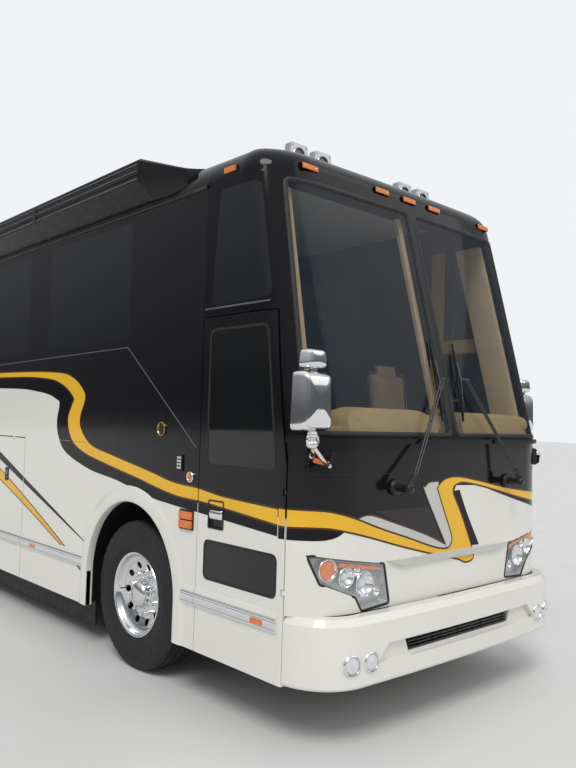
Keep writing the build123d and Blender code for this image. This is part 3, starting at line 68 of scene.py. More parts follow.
SIDES = ((-1, "right"), (1, "left"))
HANDS = ((-1, "kerb"), (1, "driver"))
ACROSS = Vector((1, 0, 0))
FRONTWARD = Vector((0, -1, 0))
REARWARD = Vector((0, 1, 0))
UP = Vector((0, 0, 1))


def at(x, distance, z):
    """A point across the coach, behind the front axle and above the ground."""
    return Vector((x, AXLE_Y + distance, z))


def turns(steps):
    """Equal turns round a circle."""
    return [2 * math.pi * k / steps for k in range(steps)]


def rect(x, y, half_x, half_y):
    """The corners of a rectangle about a place."""
    left, right, low, high = x - half_x, x + half_x, y - half_y, y + half_y
    return [(left, low), (right, low), (right, high), (left, high)]


# Camera, matched to the photo
CAMERA_PLACE = (-4.1289, -4.7447, 1.8195)
CAMERA_AZIMUTH = -42.52
CAMERA_ELEVATION = -2.87
CAMERA_ROLL = 1.624
CAMERA_LENS = 34.77


def make_camera():
    """The camera at the photo's view."""
    azimuth, elevation, roll = (math.radians(v) for v in (CAMERA_AZIMUTH, CAMERA_ELEVATION, CAMERA_ROLL))
    back = Vector(
        (
            math.sin(azimuth) * math.cos(elevation), -math.cos(azimuth) * math.cos(elevation),
            math.sin(elevation),
        )
    )
    right = Vector((math.cos(azimuth), math.sin(azimuth), 0))
    up = back.cross(right)
    tilted_right = right * math.cos(roll) + up * math.sin(roll)
    tilted_up = up * math.cos(roll) - right * math.sin(roll)
    data = bpy.data.cameras.new("camera")
    data.lens = CAMERA_LENS
    data.sensor_width = 36.0
    data.clip_start, data.clip_end = 0.05, 300
    camera = bpy.data.objects.new("camera", data)
    scene.collection.objects.link(camera)
    turn = Matrix((tilted_right, tilted_up, back)).transposed().to_4x4()
    camera.matrix_world = Matrix.Translation(at(*CAMERA_PLACE)) @ turn
    scene.camera = camera


# Finishes


class Nodes:
    """Short calls for building the nodes of one material or of the world."""

    def __init__(self, owner, coordinates="Object"):
        owner.use_nodes = True
        self.tree = owner.node_tree
        self.coord = self.tree.nodes.new("ShaderNodeTexCoord").outputs[coordinates]

    def link(self, out, into):
        """Joins an output to a socket, or writes a plain value to it."""
        if isinstance(out, (int, float)):
            into.default_value = out
        elif isinstance(out, tuple):
            into.default_value = (*out, 1.0)
        else:
            self.tree.links.new(out, into)

    def noise(self, scale, detail=3.0, stretch=None):
        """Noise in the row frame, stretched along an axis if asked."""
        node = self.tree.nodes.new("ShaderNodeTexNoise")
        node.inputs["Scale"].default_value = scale
        node.inputs["Detail"].default_value = detail
        source = self.coord
        if stretch:
            mapping = self.tree.nodes.new("ShaderNodeMapping")
            mapping.inputs["Scale"].default_value = stretch
            self.link(self.coord, mapping.inputs["Vector"])
            source = mapping.outputs[0]
        self.link(source, node.inputs["Vector"])
        return node.outputs[0]

    def ranged(self, value, low, high, new_low=0, new_high=1):
        """A value carried from one range to another."""
        node = self.tree.nodes.new("ShaderNodeMapRange")
        for index, number in enumerate((value, low, high, new_low, new_high)):
            self.link(number, node.inputs[index])
        return node.outputs[0]

    def patches(self, scale, detail=3.0, half=0.2, stretch=None):
        """Noise drawn apart into soft patches from 0 to 1."""
        return self.ranged(self.noise(scale, detail, stretch), 0.5 - half, 0.5 + half)

    def mix(self, share, first, second):
        """Two colours mixed by a share."""
        node = self.tree.nodes.new("ShaderNodeMix")
        node.data_type = "RGBA"
        self.link(share, node.inputs[0])
        self.link(first, node.inputs[6])
        self.link(second, node.inputs[7])
        return node.outputs[2]

    def math(self, operation, first, second=0.0):
        """One sum on two values."""
        node = self.tree.nodes.new("ShaderNodeMath")
        node.operation = operation
        self.link(first, node.inputs[0])
        self.link(second, node.inputs[1])
        return node.outputs[0]

    def axes(self):
        """The three coordinates."""
        node = self.tree.nodes.new("ShaderNodeSeparateXYZ")
        self.link(self.coord, node.inputs[0])
        return node.outputs

    def bump(self, height, strength, distance):
        """Relief from a height."""
        node = self.tree.nodes.new("ShaderNodeBump")
        node.inputs["Strength"].default_value = strength
        node.inputs["Distance"].default_value = distance
        self.link(height, node.inputs["Height"])
        return node.outputs[0]


def look(
    name, color, rough, metal=0.0, drift=0.08, slow=1.5, uneven=0.06, grain=None, coat=None, alpha=None,
    specular=None,
):
    """A finish whose colour drifts slowly, whose gloss is uneven and whose surface has a fine relief."""
    material = bpy.data.materials.new(name)
    n = Nodes(material)
    sockets = n.tree.nodes["Principled BSDF"].inputs
    if callable(color):
        color = color(n)
    else:
        color = n.mix(n.patches(slow), color, tuple(c * (1 - drift) for c in color))
    n.link(color, sockets["Base Color"])
    n.link(n.ranged(n.noise(slow * 6), 0.3, 0.7, rough, rough + uneven), sockets["Roughness"])
    if grain:
        scale, strength, distance = grain
        n.link(n.bump(n.noise(scale, 4.0), strength, distance), sockets["Normal"])
    fixed = {"Metallic": metal, "Alpha": alpha, "Specular IOR Level": specular, "Coat Weight": coat}
    if coat:
        fixed["Coat Roughness"] = 0.03
    for socket, value in fixed.items():
        if value is not None:
            sockets[socket].default_value = value
    return material


WHITE = (0.80, 0.79, 0.735)
BLACK = (0.006, 0.006, 0.008)
FRAME_BLACK = (0.018, 0.018, 0.019)
PAINT_LOW, PAINT_HIGH = 0.3, 3.6  # heights between which the white's edge runs
ROOF_EDGE = 1.06


def white_paint(n, darker=0.95):
    """The white, with slow drift."""
    return n.mix(n.patches(0.9), WHITE, tuple(c * darker for c in WHITE))


def stepped(points, along):
    """Black above a curve of heights and white below it, along one axis of the row frame."""

    def build(n):
        axes = n.axes()
        start, end = points[0][0], points[-1][0]
        node = n.tree.nodes.new("ShaderNodeFloatCurve")
        offset = AXLE_Y if along == 1 else 0.0
        n.link(n.ranged(axes[along], start + offset, end + offset), node.inputs["Value"])
        curve = node.mapping.curves[0]
        while len(curve.points) < len(points):
            curve.points.new(0.5, 0.5)
        reach = PAINT_HIGH - PAINT_LOW
        marks = sorted(((p - start) / (end - start), (z - PAINT_LOW) / reach) for p, z in points)
        for point, place in zip(curve.points, marks):
            point.location = place
            point.handle_type = "VECTOR"
        node.mapping.update()
        limit = n.ranged(node.outputs[0], 0, 1, PAINT_LOW, PAINT_HIGH)
        share = n.ranged(n.math("SUBTRACT", axes[2], limit), -0.0004, 0.0004)
        return n.mix(share, white_paint(n), BLACK)

    return build


# height where the white starts, along the sides and across the front
SIDE_STEP = [
    (-1.7, 1.275), (-0.83, 1.28), (-0.24, 1.36), (0.3, 1.43), (0.7, 1.52), (1.0, 1.607), (1.08, 1.90),
    (1.14, 2.10), (12.0, 2.12),
]
FRONT_STEP = [
    (-1.3, 1.27), (-1.0, 1.245), (-0.5, 1.10), (-0.07, 1.02), (-0.04, 1.30), (0.02, 1.43), (0.3, 1.42),
    (0.6, 1.37), (1.3, 1.275),
]


def roof_colour(n):
    """White along the middle of the roof and black down to the walls."""
    edge = n.ranged(n.math("ABSOLUTE", n.axes()[0]), ROOF_EDGE - 0.0002, ROOF_EDGE + 0.0002)
    return n.mix(edge, white_paint(n, 0.94), BLACK)


def wood_colour(n):
    """Long wavy grain along the coach."""
    return n.mix(n.patches(14, 5.0, 0.15, (1.0, 0.08, 1.0)), (0.30, 0.155, 0.065), (0.17, 0.08, 0.032))


def carpet_colour(n):
    """Short pile in two tones."""
    return n.mix(n.patches(240, 5.0, 0.15), (0.16, 0.14, 0.115), (0.09, 0.08, 0.065))


def deck_colour(n):
    """Carpet above and frame paint below."""
    pile = carpet_colour(n)
    share = n.ranged(n.axes()[2], DECK_Z - 0.0015, DECK_Z - 0.0005)
    return n.mix(share, FRAME_BLACK, pile)


def stone_colour(n):
    """Speckled stone."""
    return n.mix(n.patches(60, 8.0, 0.1), (0.32, 0.28, 0.23), (0.09, 0.075, 0.06))


def floor_colour(n):
    """A pale floor with the faintest unevenness."""
    return n.mix(n.patches(1.2, 6.0), (0.74, 0.74, 0.735), (0.71, 0.71, 0.705))


PAINT = dict(rough=0.11, uneven=0.03, coat=0.1, grain=(260, 0.03, 0.0004), specular=0.26)
LENS = dict(rough=0.12, drift=0.2, grain=(160, 0.3, 0.001), coat=0.6)
VINYL = dict(slow=3, uneven=0.1)

paint_side = look("paint_sides", stepped(SIDE_STEP, 1), **PAINT)
paint_front = look("paint_front", stepped(FRONT_STEP, 0), **PAINT)
paint_white = look("paint_white", WHITE, drift=0.05, **PAINT)
paint_roof = look("paint_roof", roof_colour, **PAINT)
paint_black = look(
    "paint_black", BLACK, 0.06, drift=0.3, uneven=0.03, grain=(260, 0.02, 0.0003), specular=0.22
)
paint_gold = look("paint_gold", (0.88, 0.50, 0.030), **PAINT)
paint_brown = look("paint_brown", (0.075, 0.035, 0.014), drift=0.2, **PAINT)
paint_silver = look("paint_silver", (0.60, 0.60, 0.56), drift=0.12, **PAINT)
paint_smoke = look("paint_smoke", (0.030, 0.026, 0.028), drift=0.3, **PAINT)
satin_black = look("satin_black", (0.010, 0.010, 0.011), 0.32, uneven=0.12, grain=(400, 0.08, 0.0005))
awning_paint = look(
    "awning_paint", (0.010, 0.010, 0.011), 0.24, uneven=0.08, grain=(300, 0.03, 0.0004), specular=0.25
)
frame_paint = look("frame_paint", FRAME_BLACK, 0.5, drift=0.3, slow=4, uneven=0.2, grain=(180, 0.3, 0.001))
chrome = look(
    "chrome", (0.86, 0.87, 0.88), 0.04, metal=1.0, drift=0.04, uneven=0.04, grain=(120, 0.02, 0.0003)
)
polished = look(
    "polished_alloy", (0.80, 0.81, 0.82), 0.12, metal=1.0, drift=0.07, slow=8, uneven=0.1,
    grain=(500, 0.08, 0.0003)
)
dull_steel = look(
    "dull_steel", (0.30, 0.31, 0.32), 0.35, metal=1.0, drift=0.2, slow=8, uneven=0.15,
    grain=(300, 0.1, 0.0005)
)
cast_metal = look(
    "cast_metal", (0.045, 0.045, 0.048), 0.6, metal=0.4, drift=0.4, slow=5, uneven=0.2,
    grain=(150, 0.5, 0.0015)
)
rubber = look(
    "tyre_rubber", (0.017, 0.017, 0.018), 0.62, drift=0.25, slow=5, uneven=0.18, grain=(350, 0.25, 0.0008)
)
black_rubber = look(
    "black_rubber", (0.012, 0.012, 0.012), 0.45, drift=0.25, slow=5, uneven=0.15, grain=(300, 0.2, 0.0006)
)
black_plastic = look(
    "black_plastic", (0.014, 0.014, 0.015), 0.38, drift=0.2, slow=5, uneven=0.15, grain=(500, 0.2, 0.0005)
)
screen_glass = look("screen_glass", (0.008, 0.020, 0.040), 0.02, uneven=0.01, alpha=0.20, specular=0.9)
side_glass = look("side_glass", (0.003, 0.004, 0.005), 0.03, uneven=0.02, alpha=0.93, coat=0.2, specular=0.5)
lamp_metal = look(
    "lamp_metal", (0.58, 0.59, 0.61), 0.12, metal=1.0, drift=0.1, slow=9, uneven=0.08,
    grain=(300, 0.05, 0.0003)
)
clear_cover = look("clear_cover", (0.85, 0.88, 0.88), 0.03, uneven=0.02, alpha=0.13, specular=0.9)
amber = look("amber_lens", (0.85, 0.20, 0.015), slow=40, **LENS)
red_lens = look("red_lens", (0.50, 0.012, 0.010), slow=30, **LENS)
clear_lens = look(
    "clear_lens", (0.75, 0.77, 0.78), 0.10, drift=0.15, slow=40, grain=(140, 0.4, 0.001), coat=0.6
)
smoked_lens = look("smoked_lens", (0.03, 0.03, 0.035), 0.06, drift=0.2, slow=30, coat=0.8)
headlamp_inside = look(
    "headlamp_inside", (0.66, 0.67, 0.68), 0.26, metal=0.4, drift=0.2, slow=12, grain=(90, 0.2, 0.001)
)
brass = look(
    "brass", (0.50, 0.31, 0.10), 0.18, metal=1.0, drift=0.15, slow=9, uneven=0.1, grain=(300, 0.1, 0.0004)
)
wiper_metal = look(
    "wiper_metal", (0.10, 0.10, 0.105), 0.20, metal=0.8, drift=0.15, slow=9, uneven=0.1,
    grain=(300, 0.1, 0.0004)
)
mirror_glass = look("mirror_glass", (0.72, 0.74, 0.76), 0.02, metal=1.0, drift=0.02, uneven=0.01)
joint_line = look("joint_line", (0.16, 0.16, 0.17), 0.4, drift=0.2, slow=5)
cream_trim = look("cream_trim", (0.74, 0.60, 0.37), 0.45, drift=0.12, grain=(420, 0.3, 0.0008), **VINYL)
tan_vinyl = look("tan_vinyl", (0.66, 0.47, 0.20), 0.42, drift=0.16, grain=(420, 0.35, 0.0008), **VINYL)
leather = look(
    "seat_leather", (0.45, 0.33, 0.19), 0.45, drift=0.22, slow=6, uneven=0.12, grain=(260, 0.5, 0.001)
)
leather_edge = look("leather_edge", (0.26, 0.18, 0.10), 0.5, drift=0.2, slow=8, grain=(300, 0.3, 0.0006))
linen = look("bed_linen", (0.62, 0.57, 0.48), 0.8, drift=0.12, slow=4, uneven=0.1, grain=(700, 0.5, 0.0008))
wood = look("cabinet_wood", wood_colour, 0.25, coat=0.3, grain=(90, 0.1, 0.0005))
stone = look("counter_stone", stone_colour, 0.12, coat=0.4)
carpet = look("carpet", carpet_colour, 0.85, grain=(500, 0.9, 0.003))
deck_finish = look("deck_finish", deck_colour, 0.7, grain=(500, 0.5, 0.002))
floor_look = look("floor", floor_colour, 0.7, grain=(60, 0.1, 0.001))

# The nodes of the frame that are carried over as they are
CAD_FINISH = {
    paint_side: ["side_walls", "fenders", "entry_door", "rear_panels", "rear_cap"]
    + [f"bay_door_{word}_{n}" for _, word in SIDES for n in (1, 2, 3)],
    paint_front: ["front_mask"],
    paint_white: ["bumper_front", "bumper_rear", "engine_door"],
    paint_roof: ["roof"],
    paint_black: ["front_frame"],
    awning_paint: ["awning"],
    frame_paint: ["bay_floor", "subframes", "knuckle_left", "knuckle_right"],
    deck_finish: ["deck"],
    cast_metal: ["engine", "front_axle", "rear_axles"],
    lamp_metal: ["roof_lamps"],
    satin_black: ["intake_grille"],
    screen_glass: ["windscreen"],
    side_glass: ["window_glass", "door_glass"],
    carpet: ["cockpit_floor"],
    tan_vinyl: ["dashboard"],
    black_plastic: ["steering_wheel"],
    red_lens: ["tail_lamps"],
}
for finish, names in CAD_FINISH.items():
    for name in names:
        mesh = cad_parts[name].data
        mesh.materials.clear()
        mesh.materials.append(finish)
        mesh.polygons.foreach_set("material_index", [0] * len(mesh.polygons))

# The slot that a finish fills where its piece names no other
SLOTS = {
    "tyre": [rubber],
    "rim": [polished],
    "chrome": [chrome, brass, mirror_glass, lamp_metal, dull_steel],
    "black_plastic": [satin_black, black_plastic, black_rubber, wiper_metal],
    "lamp": [amber, clear_lens, clear_cover, smoked_lens, headlamp_inside],
    "red_lamp": [red_lens],
    "pearl_white": [paint_white, paint_silver],
    "gloss_black": [paint_black, paint_gold, paint_brown, paint_smoke, joint_line],
    "seat_leather": [leather, leather_edge, linen],
    "tan_trim": [tan_vinyl, cream_trim],
    "wood": [wood, stone],
}
SLOT_OF = {finish: slot for slot, finishes in SLOTS.items() for finish in finishes}

# Forms


class Form:
    """A mesh gathered from simple generators before it becomes one piece."""

    def __init__(self):
        self.verts, self.faces = [], []

    def grid(self, rows, ring=False, loop=False):
        """Quads between rows of points; ring closes each row and loop joins the last row to the first."""
        base, width, count = len(self.verts), len(rows[0]), len(rows)
        for row in rows:
            self.verts.extend(row)
        for r in range(count if loop else count - 1):
            for c in range(width if ring else width - 1):
                a, b = base + r * width, base + (r + 1) % count * width
                d = (c + 1) % width
                self.faces.append((a + c, a + d, b + d, b + c))
        return self

    def face(self, points):
        """One flat face."""
        base = len(self.verts)
        self.verts.extend(points)
        self.faces.append(tuple(range(base, base + len(points))))
        return self

    def ends(self, rows):
        """Both end faces of a grid."""
        return self.face(rows[0]).face(rows[-1][::-1])

    def turned(self, profile, centre, axis, steps=32, notch=None):
        """A profile of (along the axis, radius) turned round it."""
        axis = axis.normalized()
        u = axis.orthogonal().normalized()
        v = axis.cross(u)
        rows = []
        for index, (along, radius) in enumerate(profile):
            row = []
            for step, turn in enumerate(turns(steps)):
                reach = radius - (notch(index, step) if notch else 0.0)
                row.append(centre + axis * along + (u * math.cos(turn) + v * math.sin(turn)) * reach)
            rows.append(row)
        return self.grid(rows, ring=True)

    def tube(self, path, radius, steps=10, closed=False):
        """A round bar along a path."""
        count = len(path)
        rows, u = [], None
        for index, point in enumerate(path):
            before = path[index - 1] if index or closed else path[0]
            after = path[(index + 1) % count] if index + 1 < count or closed else path[-1]
            along = (after - before).normalized()
            u = along.orthogonal() if u is None else u - along * u.dot(along)
            u.normalize()
            v = along.cross(u)
            rows.append([point + (u * math.cos(t) + v * math.sin(t)) * radius for t in turns(steps)])
        self.grid(rows, ring=True, loop=closed)
        return self if closed else self.ends(rows)

    def sweep(self, path, outs, section, closed=False):
        """A section of (across, outward) carried along a path on a surface with those outward directions."""
        count = len(path)
        rows = []
        for index, (point, out) in enumerate(zip(path, outs)):
            before = path[index - 1] if index or closed else path[0]
            after = path[(index + 1) % count] if index + 1 < count or closed else path[-1]
            across = (after - before).cross(out).normalized()
            rows.append([point + across * a + out * h for a, h in section])
        self.grid(rows, loop=closed)
        return self if closed else self.ends(rows)

    def slab(self, low, high):
        """A plate between two matching outlines."""
        return self.grid([low, high], ring=True).face(low[::-1]).face(high)

    def made(self, name, finish, body="coach", slot=None, replaces=(), bevel=0.0, sharp=35.0):
        """Turns the form into a piece that rides on a body."""
        mesh = bpy.data.meshes.new(name)
        mesh.from_pydata([tuple(v) for v in self.verts], [], self.faces)
        bm = bmesh.new()
        bm.from_mesh(mesh)
        bmesh.ops.remove_doubles(bm, verts=bm.verts, dist=2e-5)
        bmesh.ops.dissolve_degenerate(bm, dist=1e-6, edges=bm.edges)
        bmesh.ops.recalc_face_normals(bm, faces=bm.faces)
        bm.to_mesh(mesh)
        bm.free()
        return placed(mesh, name, finish, body, slot, replaces, bevel, sharp)


def placed(mesh, name, finish, body, slot=None, replaces=(), bevel=0.0, sharp=35.0, subdivide=0):
    """An object for a mesh, with its finish and its body."""
    slot = slot or SLOT_OF[finish]
    mesh.polygons.foreach_set("use_smooth", [True] * len(mesh.polygons))
    mesh.set_sharp_from_angle(angle=math.radians(sharp))
    mesh.materials.append(finish)
    piece = bpy.data.objects.new(name, mesh)
    scene.collection.objects.link(piece)
    if bevel:
        modifier = piece.modifiers.new("bevel", "BEVEL")
        modifier.width = bevel
        modifier.segments = 2
        modifier.limit_method = "ANGLE"
        modifier.angle_limit = math.radians(40)
    if subdivide:
        modifier = piece.modifiers.new("smooth", "SUBSURF")
        modifier.levels = modifier.render_levels = subdivide
    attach(piece, body)
    if replaces:
        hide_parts(*replaces)
    return piece


def rounded(points, radius, steps=6):
    """A flat outline with its corners rounded."""
    out = []
    count = len(points)
    for index, corner in enumerate(points):
        corner = Vector(corner)
        before, after = Vector(points[index - 1]) - corner, Vector(points[(index + 1) % count]) - corner
        half = before.angle(after) / 2
        reach = min(radius / math.tan(half), before.length * 0.48, after.length * 0.48)
        start, end = corner + before.normalized() * reach, corner + after.normalized() * reach
        for step in range(steps + 1):
            t = step / steps
            out.append(start * (1 - t) ** 2 + corner * 2 * t * (1 - t) + end * t**2)
    return out


def curved(points, steps=6):
    """A smooth line through points."""
    points = [Vector(p) for p in points]
    out = []
    for index, (p1, p2) in enumerate(zip(points, points[1:])):
        p0 = points[max(index - 1, 0)]
        p3 = points[min(index + 2, len(points) - 1)]
        for step in range(steps):
            t = step / steps
            square = (p0 * 2 - p1 * 5 + p2 * 4 - p3) * t**2
            cube = (p1 * 3 - p0 - p2 * 3 + p3) * t**3
            out.append((p1 * 2 + (p2 - p0) * t + square + cube) / 2)
    out.append(points[-1])
    return out


def pairs(points):
    """Plain pairs of numbers from flat points."""
    return [(p.x, p.y) for p in points]


def forms(count):
    """New empty forms."""
    return [Form() for _ in range(count)]


# The skin below the windscreen, unrolled: u runs round the front from its middle, negative on the kerb side
BODY_FRONT = -1.885
FLAT = (0.9001, 27.0)  # arc length and radius of the nearly flat middle
CORNER = (0.8578, 0.49)  # angle and radius of the corner's curve
CORNER_X, CORNER_D = 0.9, -1.38  # centre of the corner's curve
CREASE_R = 0.1
CREASE_X = HALF_W - CREASE_R
CORNER_END = FLAT[0] + CORNER[1] * CORNER[0]
CREASE_END = CORNER_END + CREASE_R * (math.pi / 2 - CORNER[0])
SIDE_START = -1.6351
# The windscreen leans back from its foot
SCREEN_FOOT = 1.745
RAKE = 0.26


def plan(u):
    """Across, behind the front axle, and the outward direction, at a length round the front."""
    s, side = abs(u), math.copysign(1.0, u)
    if s <= FLAT[0]:
        turn = s / FLAT[1]
        x, d = FLAT[1] * math.sin(turn), BODY_FRONT + FLAT[1] * (1 - math.cos(turn))
    elif s <= CORNER_END:
        turn = (s - FLAT[0]) / CORNER[1]
        x, d = CORNER_X + CORNER[1] * math.sin(turn), CORNER_D - CORNER[1] * math.cos(turn)
    elif s <= CREASE_END:
        turn = CORNER[0] + (s - CORNER_END) / CREASE_R
        x, d = CREASE_X + CREASE_R * math.sin(turn), SIDE_START - CREASE_R * math.cos(turn)
    else:
        turn = math.pi / 2
        x, d = HALF_W, SIDE_START + s - CREASE_END
    return side * x, d, Vector((side * math.sin(turn), -math.cos(turn), 0))


def skin(u, z, proud=0.0):
    """A point on the unrolled skin."""
    x, d, out = plan(u)
    return at(x, d, z) + out * proud


def along(d):
    """The unrolled length of a place on the flat side."""
    return CREASE_END + d - SIDE_START



def wall(side, d, z, proud=0.0):
    """A point on one flat side."""
    return at(side * (HALF_W + proud), d, z)


def on_wall(side, points, proud=0.0):
    """Points of (behind the axle, height) on one flat side."""
    return [wall(side, d, z, proud) for d, z in points]


def bays(word):
    """The body and both ends of each bay door on one side."""
    return [(f"bay_door_{word}_{n}", front, rear) for n, (front, rear) in enumerate(zip(BAYS, BAYS[1:]), 1)]


FRONT_TREE = {}


def front_hit(x, z, *names):
    """Where nodes of the front's CAD lie behind a place in the front view, and their outward direction."""
    if names not in FRONT_TREE:
        verts, faces = [], []
        for name in names:
            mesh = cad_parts[name].data
            base = len(verts)
            verts.extend(v.co.copy() for v in mesh.vertices)
            faces.extend([base + i for i in p.vertices] for p in mesh.polygons)
        FRONT_TREE[names] = BVHTree.FromPolygons(verts, faces)
    hit, out, _, _ = FRONT_TREE[names].ray_cast(Vector((x, AXLE_Y - 4, z)), REARWARD)
    if hit is None:
        raise ValueError(f"the front has nothing at {x}, {z}")
    return hit, out if out.y < 0 else -out


# Paint lines

FOOT, WAIST = 0.346, 1.606
# body, lowest u, highest u, bottom, top
REGIONS = [("coach", -1.356, 1.356, 0.740, 1.744), ("entry_door", -along(-0.836), -along(-1.658), FOOT, 1.62)]
for side, word in SIDES:
    rows = [
        # body, front end, rear end, bottom, top
        ("coach", -0.827 if side < 0 else -1.667, 1.862, FOOT, WAIST),
        ("coach", 7.218, 11.149, FOOT, WAIST),
        ("coach", -0.827, 11.149, 1.608, 3.359),
    ]
    rows += [(body, front + 0.004, rear - 0.004, FOOT, 1.597) for body, front, rear in bays(word)]
    for body, start, end, low, high in rows:
        REGIONS.append((body, *sorted((side * along(start), side * along(end))), low, high))
# Where the paint is cut so that it can follow the curves of the front
slices = [0.15 * n for n in range(1, 7)] + [0.9 + 0.03 * n for n in range(15)]
slices += [CORNER_END + 0.008 * n for n in range(10)]
SLICES = [s * u for u in slices for s in (-1, 1)] + [0.0]
# The clear space round each hinge lug of a bay door, from the door's ends and its foot
LUG_AT, LUG_HALF, LUG_FOOT = 0.256, 0.024, 1.576


def flat_mesh(outline):
    """A flat mesh of triangles inside an outline."""
    bm = bmesh.new()
    bm.faces.new([bm.verts.new((x, z, 0)) for x, z in outline])
    bm.normal_update()
    bmesh.ops.triangulate(bm, faces=bm.faces[:], ngon_method="EAR_CLIP")
    return bm


def cut(bm, axis, place, clear=0):
    """Cuts a flat mesh across an axis, and clears what lies above (1) or below (-1) if asked."""
    point, direction = Vector(), Vector()
    point[axis], direction[axis] = place, clear or 1
    geometry = bm.verts[:] + bm.edges[:] + bm.faces[:]
    bmesh.ops.bisect_plane(
        bm, geom=geometry, dist=1e-6, plane_co=point, plane_no=direction, clear_outer=bool(clear)
    )


def decal(name, outline, finish, lift):
    """A painted shape on the skin, from an outline of (u, height), shared out to the bodies it crosses."""
    us, zs = zip(*outline)
    for number, (body, low_u, high_u, low_z, high_z) in enumerate(REGIONS):
        if max(us) <= low_u or min(us) >= high_u or max(zs) <= low_z or min(zs) >= high_z:
            continue
        bm = flat_mesh(outline)
        for axis, low, high in ((0, low_u, high_u), (1, low_z, high_z)):
            cut(bm, axis, low, -1)
            cut(bm, axis, high, 1)
        if body.startswith("bay_door"):
            for lug in (low_u + LUG_AT, high_u - LUG_AT):
                cut(bm, 0, lug - LUG_HALF)
                cut(bm, 0, lug + LUG_HALF)
                cut(bm, 1, LUG_FOOT)
                middles = [(f, f.calc_center_median()) for f in bm.faces]
                gone = [f for f, middle in middles if abs(middle.x - lug) < LUG_HALF and middle.y > LUG_FOOT]
                bmesh.ops.delete(bm, geom=gone, context="FACES")
        if bm.faces:
            for u in SLICES:
                if low_u < u < high_u and min(us) < u < max(us):
                    cut(bm, 0, u)
            bmesh.ops.remove_doubles(bm, verts=bm.verts[:], dist=3e-4)
            bmesh.ops.dissolve_degenerate(bm, dist=2e-4, edges=bm.edges[:])
            for vert in bm.verts:
                vert.co = skin(vert.co.x, vert.co.y, lift)
            bmesh.ops.recalc_face_normals(bm, faces=bm.faces)
            mesh = bpy.data.meshes.new(f"{name}_{number}")
            bm.to_mesh(mesh)
            placed(mesh, f"{name}_{number}", finish, body)
        bm.free()


def ribbon(upper, lower):
    """The outline between an upper and a lower line."""
    return pairs(curved(upper)) + pairs(reversed(curved(lower)))


def line(points, width):
    """The outline of a thin line along points."""
    path = curved(points)
    left, right = [], []
    for index, point in enumerate(path):
        step = path[min(index + 1, len(path) - 1)] - path[max(index - 1, 0)]
        across = Vector((-step.y, step.x)).normalized() * width / 2
        left.append((point.x + across.x, point.y + across.y))
        right.append((point.x - across.x, point.y - across.y))
    return left + right[::-1]


def edging(name, edges, width, lift):
    """Brown lines along the edges of a band."""
    for number, edge in enumerate(edges):
        decal(f"{name}_{number}", line(edge, width), paint_brown, lift)


# Heights of the side band's edges, as (behind the front axle, height), rear end first
BAND_TOP = [
    (11.2, 2.26), (6.0, 2.245), (2.54, 2.217), (1.32, 2.187), (0.97, 2.131), (0.78, 2.023), (0.75, 1.945),
    (0.82, 1.806), (0.79, 1.706), (0.62, 1.593), (0.30, 1.532), (-0.23, 1.447), (-0.54, 1.393),
    (-0.83, 1.376), (-1.10, 1.346), (-1.60, 1.324),
]
BAND_FOOT = [
    (11.2, 2.20), (6.0, 2.185), (2.53, 2.163), (1.54, 2.135), (1.17, 2.074), (0.96, 1.964), (0.98, 1.904),
    (1.04, 1.781), (0.96, 1.620), (0.73, 1.520), (0.29, 1.439), (-0.07, 1.382), (-0.55, 1.303),
    (-0.94, 1.284), (-1.60, 1.228),
]
SHADE_FOOT = [
    (11.2, 2.09), (6.0, 2.08), (2.52, 2.061), (1.60, 2.016), (1.26, 1.950), (1.21, 1.904), (1.24, 1.777),
    (1.21, 1.652), (1.06, 1.513), (0.64, 1.398), (0.21, 1.345), (-0.24, 1.266), (-0.55, 1.237),
    (-0.93, 1.213), (-1.60, 1.167),
]
DIAGONAL_BLACK = ([(4.25, 2.10), (2.45, 1.452), (0.61, 0.812)], [(4.75, 2.10), (2.44, 1.375), (0.61, 0.806)])
DIAGONAL_GOLD = (
    [(4.75, 2.10), (2.43, 1.289), (1.60, 0.985), (0.90, 0.70), (0.66, 0.568)],
    [(5.35, 2.10), (2.41, 1.185), (1.60, 0.925), (0.90, 0.68), (0.65, 0.562)],
)
# The same edges round the front, as (u, height) from the kerb side corner
NOSE_TOP = [
    (-1.42, 1.330), (-1.164, 1.323), (-1.042, 1.303), (-0.911, 1.265), (-0.720, 1.201), (-0.474, 1.129),
    (-0.206, 1.048), (-0.063, 1.030), (-0.020, 1.069), (-0.028, 1.120), (-0.100, 1.255), (-0.168, 1.386),
    (-0.177, 1.428), (-0.100, 1.476), (0.048, 1.486), (0.314, 1.448), (0.605, 1.398), (1.0, 1.350),
    (1.42, 1.322),
]
NOSE_FOOT = [
    (-1.42, 1.226), (-1.174, 1.225), (-1.039, 1.209), (-0.814, 1.156), (-0.514, 1.076), (-0.227, 1.007),
    (0.038, 0.949), (0.142, 0.916), (0.232, 0.936), (0.203, 1.028), (0.081, 1.243), (-0.013, 1.393),
    (0.049, 1.442), (0.179, 1.437), (0.458, 1.388), (0.9, 1.300), (1.42, 1.222),
]
NOSE_SHADE = [(-1.42, 1.157), (-1.354, 1.157), (-1.160, 1.156), (-1.066, 1.173), (-1.015, 1.203)]
SWIRL = (
    [(-0.930, 1.270), (-0.819, 1.288), (-0.623, 1.236), (-0.300, 1.137), (-0.088, 1.056)],
    [(-0.912, 1.262), (-0.720, 1.199), (-0.474, 1.127), (-0.206, 1.046), (-0.080, 1.030)],
)
STRIP = (
    [(-0.088, 1.056), (-0.319, 1.406), (-0.309, 1.436), (-0.264, 1.461), (-0.171, 1.464)],
    [(-0.070, 1.032), (-0.020, 1.090), (-0.100, 1.255), (-0.168, 1.386), (-0.177, 1.428)],
)
FACET = [(-0.782, 1.308), (-0.113, 1.063), (-0.270, 1.307)]
